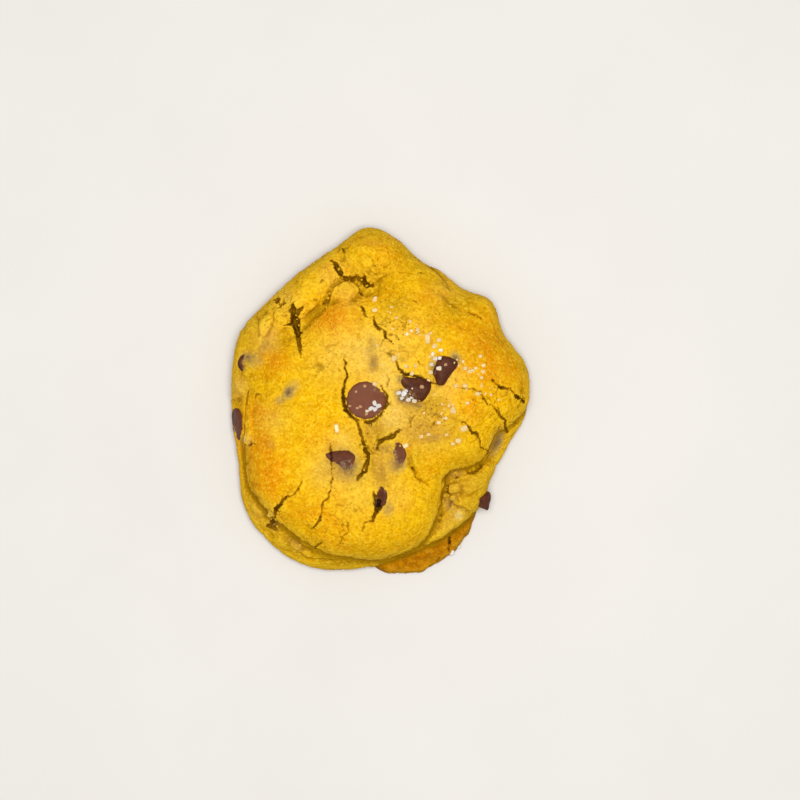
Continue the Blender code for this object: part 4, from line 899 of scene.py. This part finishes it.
def build_chip(name, material, surface):
    """A chip at its solid's place, with a softened, slightly dented surface."""
    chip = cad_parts[name].copy()
    chip.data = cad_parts[name].data.copy()
    for key in list(chip.keys()):
        del chip[key]
    chip.name = name + "_looks"
    chip.parent = None
    bpy.context.scene.collection.objects.link(chip)
    remesh = chip.modifiers.new("even", "REMESH")
    remesh.mode = "VOXEL"
    remesh.voxel_size = 0.22 * MM
    smooth = chip.modifiers.new("smooth", "SMOOTH")
    smooth.factor = 0.5
    smooth.iterations = 8
    apply_modifiers(chip)
    mesh = chip.data
    points = points_of(mesh)
    normals = normals_of(mesh)
    seed = 30 + sum(map(ord, name)) % 50
    lift = 0.2 * noise_at(points, 3.4, seed) + 0.06 * noise_at(points, 1.1, seed + 1) + 0.1
    points += normals * lift[:, None]
    split = np.zeros(len(points))
    if name in CHIP_SWELLS:
        points += normals * gaussians(points[:, :2], CHIP_SWELLS[name])[:, None]
    if name in CHIP_CRACKS:
        depth, split, _, _ = crack_fields(points, [CRACKS[crack] for crack in CHIP_CRACKS[name]])
        points[:, 2] -= 0.5 * depth
    above = np.array([height_above(surface, p) for p in points])
    film = np.clip(gaussians(points[:, :2], FILMS), 0, 1) * smooth_step(0.0, 0.4, normals[:, 2])
    film *= np.clip(0.75 + 0.9 * noise_at(points, 1.0, seed + 3), 0, 1.2)
    points += normals * (0.25 * film)[:, None]
    move_points(mesh, points)
    coat = smooth_step(0.5, 0.0, above + 0.3 * noise_at(points, 0.9, seed + 2))
    set_attribute(mesh, "coat", coat)
    set_attribute(mesh, "film", film)
    # The split attribute marks where the material paints shade into a crack across the chip.
    set_attribute(mesh, "split", split)
    set_attribute(mesh, "bloom", np.full(len(points), BLOOM.get(name, 0.1)))
    mesh.materials.clear()
    mesh.materials.append(material)
    return chip


def surface_tree(pieces):
    """A search tree over some pieces' surfaces, in metres."""
    vertices, faces = [], []
    for piece in pieces:
        start = len(vertices)
        vertices += [v.co.copy() for v in piece.data.vertices]
        faces += [tuple(start + i for i in p.vertices) for p in piece.data.polygons]
    return BVHTree.FromPolygons(vertices, faces)


def height_above(tree, point):
    """How far a point in millimetres lies above the surface below or above it."""
    hit = tree.ray_cast(Vector((point[0] * MM, point[1] * MM, 0.1)), Vector((0, 0, -1)))
    return point[2] - hit[0].z / MM if hit[0] else 5.0


# ---------------------------------------------------------------------------------------------------------------
# Salt
# ---------------------------------------------------------------------------------------------------------------
def grain_shape(length, width, rng):
    """A worn crystal of salt: a lopsided rounded block with a hollow top, in millimetres."""
    shape = bmesh.new()
    bmesh.ops.create_cube(shape, size=2.0)
    bmesh.ops.subdivide_edges(shape, edges=shape.edges[:], cuts=3, use_grid_fill=True)
    half = Vector((length, width, rng.uniform(0.55, 0.8) * width)) / 2
    lean = [rng.uniform(-0.22, 0.22) for _ in range(4)]
    for v in shape.verts:
        x, y, z = v.co
        place = v.co.lerp(v.co.normalized() * 1.25, 0.6)
        if z > 0.9:
            place.z -= 0.45 * (1 - max(abs(x), abs(y)))
        place.x *= 1 + lean[0] * y + lean[1] * z
        place.y *= 1 + lean[2] * x + lean[3] * z
        v.co = place * half
    return shape


def settle(grains, name, material, surface, rng, sunk, dry):
    """One piece made of many grains of (x, y, length, width, turn), each lying on the surface below it."""
    vertices, faces = [], []
    for x, y, length, width, turn in grains:
        hit = surface.ray_cast(Vector((x * MM, y * MM, 0.1)), Vector((0, 0, -1)))
        if not hit[0]:
            continue
        shape = grain_shape(length, width, rng)
        lean = Matrix.Rotation(rng.uniform(-0.35, 0.35), 4, "X") @ Matrix.Rotation(rng.uniform(-0.35, 0.35), 4, "Y")
        rise = Matrix.Translation((x, y, hit[0].z / MM + (0.32 - sunk) * width))
        shape.transform(rise @ Matrix.Rotation(math.radians(turn), 4, "Z") @ lean)
        shape.verts.index_update()
        start = len(vertices)
        vertices += [tuple(v.co) for v in shape.verts]
        faces += [tuple(start + v.index for v in f.verts) for f in shape.faces]
        shape.free()
    made = new_object(name, vertices, faces)
    set_attribute(made.data, "dry", gaussians(np.array(vertices)[:, :2], dry))
    made.data.materials.append(material)
    return made


def scattered(spots, small, large, rng):
    """Loose grains drawn around spots of (centre, spread, count)."""
    grains = []
    for (x, y), spread, count in spots:
        for _ in range(count):
            size = rng.uniform(small, large)
            place = (rng.gauss(x, spread / 2), rng.gauss(y, spread / 2))
            grains.append(place + (size, size * rng.uniform(0.6, 0.9), rng.uniform(0, 180)))
    return grains


def build_salt(material, surface):
    rng = random.Random(7)
    grains = list(SALT_PLACED) + scattered(SALT_LOOSE, 0.5, 1.1, rng)
    return settle(grains, "salt_grains", material, surface, rng, 0.2, WHITE_SALT)


def build_crumbs(material, surface):
    rng = random.Random(11)
    grains = list(CRUMBS_PLACED) + scattered(CRUMBS_LOOSE, 0.45, 1.0, rng)
    return settle(grains, "dough_crumbs", material, surface, rng, 0.2, CHIP_CRUMBS)


# ---------------------------------------------------------------------------------------------------------------
# Materials
# ---------------------------------------------------------------------------------------------------------------
def linear(red, green, blue):
    """A colour given as 0 to 255 on a screen, as the shader's linear colour."""
    return tuple(((c / 255 + 0.055) / 1.055) ** 2.4 if c > 10 else c / 255 / 12.92 for c in (red, green, blue)) + (1.0,)


class Nodes:
    """Makes a material's nodes and links them in short calls."""

    def __init__(self, name):
        self.material = bpy.data.materials.new(name)
        self.material.use_nodes = True
        self.tree = self.material.node_tree
        self.shader = self.tree.nodes["Principled BSDF"]
        self.place = self.add("ShaderNodeTexCoord").outputs["Object"]

    def add(self, kind, **settings):
        made = self.tree.nodes.new(kind)
        for key, value in settings.items():
            setattr(made, key, value)
        return made

    def put(self, value, socket):
        if isinstance(value, bpy.types.NodeSocket):
            self.tree.links.new(value, socket)
        else:
            socket.default_value = value

    def noise(self, size, detail=3.0, roughness=0.55):
        """Noise with features about `size` millimetres across."""
        made = self.add("ShaderNodeTexNoise")
        self.put(self.place, made.inputs["Vector"])
        made.inputs["Scale"].default_value = 1 / (size * MM)
        made.inputs["Detail"].default_value = detail
        made.inputs["Roughness"].default_value = roughness
        return made.outputs["Fac"]

    def cells(self, size):
        """Distance to the nearest of scattered points about `size` millimetres apart."""
        made = self.add("ShaderNodeTexVoronoi")
        self.put(self.place, made.inputs["Vector"])
        made.inputs["Scale"].default_value = 1 / (size * MM)
        return made.outputs["Distance"]

    def attribute(self, name):
        return self.add("ShaderNodeAttribute", attribute_name=name).outputs["Fac"]

    def maths(self, operation, a, b=0.0, clamp=False):
        made = self.add("ShaderNodeMath", operation=operation, use_clamp=clamp)
        self.put(a, made.inputs[0])
        self.put(b, made.inputs[1])
        return made.outputs[0]

    def spread(self, value, low, high, to_low=0.0, to_high=1.0):
        """Maps a value from low..high to to_low..to_high, clamped and eased."""
        made = self.add("ShaderNodeMapRange", interpolation_type="SMOOTHSTEP")
        for socket, number in zip(made.inputs[:5], (value, low, high, to_low, to_high)):
            self.put(number, socket)
        return made.outputs[0]

    def mix(self, factor, a, b, blend="MIX"):
        made = self.add("ShaderNodeMix", data_type="RGBA", blend_type=blend)
        self.put(factor, made.inputs[0])
        self.put(a, made.inputs[6])
        self.put(b, made.inputs[7])
        return made.outputs[2]

    def bump(self, height, strength, distance):
        made = self.add("ShaderNodeBump")
        made.inputs["Strength"].default_value = strength
        made.inputs["Distance"].default_value = distance * MM
        self.put(height, made.inputs["Height"])
        self.put(made.outputs[0], self.shader.inputs["Normal"])


def dough_material():
    n = Nodes("golden_dough")
    patches = n.noise(11.0, 3.0)
    mottle = n.noise(4.6, 2.0, 0.5)
    blotches = n.noise(2.2, 4.0, 0.6)
    grain = n.noise(0.9, 4.0, 0.65)
    pores = n.cells(1.5)
    colour = n.mix(n.spread(blotches, 0.35, 0.65), linear(232, 172, 0), linear(254, 200, 8))
    colour = n.mix(n.spread(mottle, 0.36, 0.62, 0.6, 0.0), colour, linear(222, 164, 0))
    browned = n.maths("ADD", n.attribute("browned"), n.spread(patches, 0.4, 0.68, -0.1, 0.3))
    browned = n.maths("MULTIPLY", browned, n.spread(mottle, 0.3, 0.7, 1.2, 0.65), clamp=True)
    colour = n.mix(browned, colour, linear(236, 148, 0))
    pale = n.maths("MULTIPLY", n.attribute("pale"), n.spread(blotches, 0.25, 0.65, 1.1, 2.0), clamp=True)
    colour = n.mix(pale, colour, linear(242, 202, 96))
    colour = n.mix(n.spread(n.attribute("pale"), 0.65, 0.85, 0.0, 0.9), colour, linear(250, 234, 170))
    colour = n.mix(n.maths("MULTIPLY", n.attribute("torn"), 0.35), colour, linear(224, 172, 46))
    # Olive dull colour: less browned dough together with painted shade.
    dull_and_shade = n.maths("MULTIPLY", n.attribute("dull_and_shade"), n.spread(mottle, 0.3, 0.7, 0.65, 1.0), clamp=True)
    colour = n.mix(dull_and_shade, colour, linear(196, 148, 4))
    smear = n.maths("MULTIPLY", n.attribute("smear"), n.spread(blotches, 0.25, 0.6, 0.75, 1.15))
    colour = n.mix(n.spread(smear, 0.05, 0.45, 0.0, 0.8), colour, linear(192, 154, 72))
    colour = n.mix(n.spread(smear, 0.42, 0.85, 0.0, 0.9), colour, linear(134, 112, 80))
    colour = n.mix(n.spread(smear, 0.85, 1.1, 0.0, 0.7), colour, linear(90, 66, 54))
    stain = n.maths("MULTIPLY", n.attribute("stain"), n.spread(blotches, 0.3, 0.65, 0.7, 1.1), clamp=True)
    colour = n.mix(stain, colour, linear(192, 142, 54))
    # Painted shade: darkens the dough under overhangs, low by the rim and in folds.
    colour = n.mix(n.maths("MULTIPLY", n.attribute("painted_shade"), 0.5), colour, linear(138, 98, 4))
    foot = n.mix(n.spread(blotches, 0.35, 0.65), linear(156, 92, 0), linear(194, 124, 0))
    foot = n.mix(n.maths("MULTIPLY", n.attribute("rim"), 0.8), foot, linear(128, 72, 0))
    colour = n.mix(n.attribute("foot"), colour, foot)
    quiet = n.maths("MULTIPLY", n.attribute("foot"), 0.6)
    quiet = n.maths("ADD", quiet, n.maths("MULTIPLY", n.attribute("smear"), 0.6))
    quiet = n.maths("ADD", quiet, n.maths("MULTIPLY", n.attribute("stain"), 0.3), clamp=True)
    speckle = n.maths("SUBTRACT", 1.0, quiet)
    light = n.maths("MULTIPLY", n.spread(grain, 0.49, 0.66, 0.0, 0.55), speckle)
    colour = n.mix(light, colour, linear(255, 216, 62))
    colour = n.mix(n.spread(grain, 0.49, 0.34, 0.0, 0.5), colour, linear(198, 136, 0))
    # Painted highlight on the crests.
    crest = n.maths("MULTIPLY", n.attribute("crest"), n.maths("MULTIPLY", speckle, 0.35))
    colour = n.mix(crest, colour, linear(255, 210, 48))
    # Painted shade in the hollows.
    colour = n.mix(n.maths("MULTIPLY", n.attribute("hollow"), 0.7, clamp=True), colour, linear(152, 110, 2))
    spots = n.maths("MULTIPLY", n.spread(pores, 0.22, 0.1), n.spread(patches, 0.35, 0.6, 0.4, 1.0))
    spots = n.maths("MULTIPLY", spots, n.spread(n.attribute("near_crack"), 0.0, 1.0, 0.4, 1.2), clamp=True)
    colour = n.mix(spots, colour, linear(122, 82, 2))
    colour = n.mix(n.maths("MULTIPLY", n.attribute("craze"), 1.0, clamp=True), colour, linear(124, 86, 0))
    # Painted shade: the cracks are painted dark brown inside for their depth, and nearly black at the shaded spots.
    frayed = n.maths("ADD", n.attribute("crack"), n.spread(grain, 0.3, 0.7, -0.07, 0.07))
    inner = n.mix(n.spread(blotches, 0.38, 0.65), linear(102, 66, 0), linear(160, 114, 10))
    inner = n.mix(n.maths("MULTIPLY", n.attribute("shaded"), 0.85), inner, linear(50, 28, 4))
    colour = n.mix(n.spread(frayed, 0.44, 0.66, 0.0, 0.92), colour, inner)
    n.put(colour, n.shader.inputs["Base Color"])
    n.put(n.spread(blotches, 0.3, 0.7, 0.85, 0.65), n.shader.inputs["Roughness"])
    n.shader.inputs["Specular IOR Level"].default_value = 0.02
    height = n.maths("ADD", n.maths("MULTIPLY", grain, 0.6), n.maths("MULTIPLY", blotches, 0.6))
    height = n.maths("SUBTRACT", height, n.maths("MULTIPLY", spots, 0.5))
    n.bump(height, 1.0, 0.5)
    return n.material


def crumb_material():
    n = Nodes("dough_crumb")
    speckle = n.noise(0.6, 3.0)
    colour = n.mix(speckle, linear(206, 150, 8), linear(240, 190, 50))
    colour = n.mix(n.attribute("dry"), colour, linear(186, 142, 104))
    n.put(colour, n.shader.inputs["Base Color"])
    n.put(n.spread(speckle, 0.3, 0.7, 0.85, 0.65), n.shader.inputs["Roughness"])
    n.shader.inputs["Specular IOR Level"].default_value = 0.1
    n.bump(speckle, 0.6, 0.2)
    return n.material


def chocolate_material():
    n = Nodes("milk_chocolate")
    clouds = n.noise(3.0, 4.0, 0.6)
    fine = n.noise(0.6, 2.0)
    colour = n.mix(n.spread(clouds, 0.35, 0.7), linear(66, 30, 16), linear(98, 52, 32))
    colour = n.mix(n.attribute("bloom"), colour, n.mix(clouds, linear(112, 59, 36), linear(134, 80, 54)))
    haze = n.maths("MULTIPLY", n.spread(clouds, 0.58, 0.75), n.spread(fine, 0.4, 0.7, 0.2, 0.8))
    colour = n.mix(n.maths("MULTIPLY", haze, 0.12), colour, linear(150, 116, 96))
    # Painted shade, nearly black, where a crack of the dough runs across a chip.
    colour = n.mix(n.spread(n.attribute("split"), 0.42, 0.66, 0.0, 0.95), colour, linear(38, 16, 8))
    film = n.maths("MULTIPLY", n.attribute("film"), n.spread(fine, 0.3, 0.6, 0.55, 1.15), clamp=True)
    film_colour = n.mix(n.spread(fine, 0.35, 0.65), linear(98, 76, 64), linear(158, 130, 98))
    colour = n.mix(n.spread(film, 0.15, 0.7, 0.0, 0.85), colour, film_colour)
    coat = n.maths("MULTIPLY", n.attribute("coat"), n.spread(fine, 0.3, 0.6, 0.6, 1.1), clamp=True)
    colour = n.mix(n.spread(coat, 0.2, 0.7, 0.0, 0.8), colour, linear(126, 96, 66))
    colour = n.mix(n.spread(coat, 0.8, 1.0, 0.0, 0.7), colour, linear(186, 144, 66))
    n.put(colour, n.shader.inputs["Base Color"])
    n.put(n.spread(clouds, 0.3, 0.7, 0.5, 0.66), n.shader.inputs["Roughness"])
    n.shader.inputs["Specular IOR Level"].default_value = 0.14
    n.bump(n.maths("ADD", n.maths("MULTIPLY", clouds, 0.6), n.maths("MULTIPLY", fine, 0.4)), 0.4, 0.25)
    return n.material


def salt_material():
    n = Nodes("coarse_salt")
    haze = n.noise(0.7, 2.0)
    colour = n.mix(haze, linear(240, 200, 112), linear(254, 226, 164))
    colour = n.mix(n.attribute("dry"), colour, linear(228, 226, 226))
    n.put(colour, n.shader.inputs["Base Color"])
    n.put(n.spread(haze, 0.3, 0.7, 0.25, 0.5), n.shader.inputs["Roughness"])
    n.shader.inputs["Transmission Weight"].default_value = 0.15
    n.shader.inputs["IOR"].default_value = 1.54
    n.bump(haze, 0.2, 0.1)
    return n.material


def floor_material():
    n = Nodes("pale_floor")
    n.put(n.mix(n.noise(60.0), linear(224, 221, 216), linear(231, 228, 223)), n.shader.inputs["Base Color"])
    n.shader.inputs["Roughness"].default_value = 0.7
    return n.material


# ---------------------------------------------------------------------------------------------------------------
# Stage
# ---------------------------------------------------------------------------------------------------------------
def build_stage():
    floor = new_object("floor", [(-900, -900, 0), (900, -900, 0), (900, 900, 0), (-900, 900, 0)], [(0, 1, 2, 3)])
    floor.data.materials.append(floor_material())
    for name, place, size, watts in (("overhead", (0.03, 0.01, 0.98), 0.4, 7.5),):
        light = bpy.data.lights.new(name, "AREA")
        light.size = size
        light.energy = watts
        lamp = bpy.data.objects.new(name, light)
        lamp.location = place
        lamp.rotation_euler = (-Vector(place)).to_track_quat("-Z", "Y").to_euler()
        bpy.context.scene.collection.objects.link(lamp)
    world = bpy.data.worlds.new("studio")
    world.use_nodes = True
    world.node_tree.nodes["Background"].inputs["Color"].default_value = (1.0, 0.985, 0.96, 1.0)
    world.node_tree.nodes["Background"].inputs["Strength"].default_value = 0.4
    bpy.context.scene.world = world


def build_camera():
    """Straight down from above the cookie, with +Y at the top of the view."""
    camera = bpy.data.cameras.new("camera")
    camera.sensor_width = 36.0
    camera.lens = 135.0
    camera.clip_start = 0.01
    eye = bpy.data.objects.new("camera", camera)
    eye.location = (0.0065, 0.00067, 1.010)
    eye.rotation_euler = (0.0, 0.0, 0.0)
    bpy.context.scene.collection.objects.link(eye)
    bpy.context.scene.camera = eye


def main():
    build_camera()
    build_stage()
    bpy.context.scene.view_settings.view_transform = "Standard"
    chocolate = chocolate_material()
    dough = build_dough(dough_material())
    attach(dough, "root")
    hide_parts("dough")
    dough_tree = surface_tree([dough])
    chips = []
    for name in sorted(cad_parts):
        if name.startswith("chip_"):
            chip = build_chip(name, chocolate, dough_tree)
            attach(chip, "root")
            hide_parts(name)
            chips.append(chip)
    salt = build_salt(salt_material(), surface_tree([dough] + chips))
    crumbs = build_crumbs(crumb_material(), surface_tree([dough] + chips))
    for scattered_piece in (salt, crumbs):
        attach(scattered_piece, "root")


main()
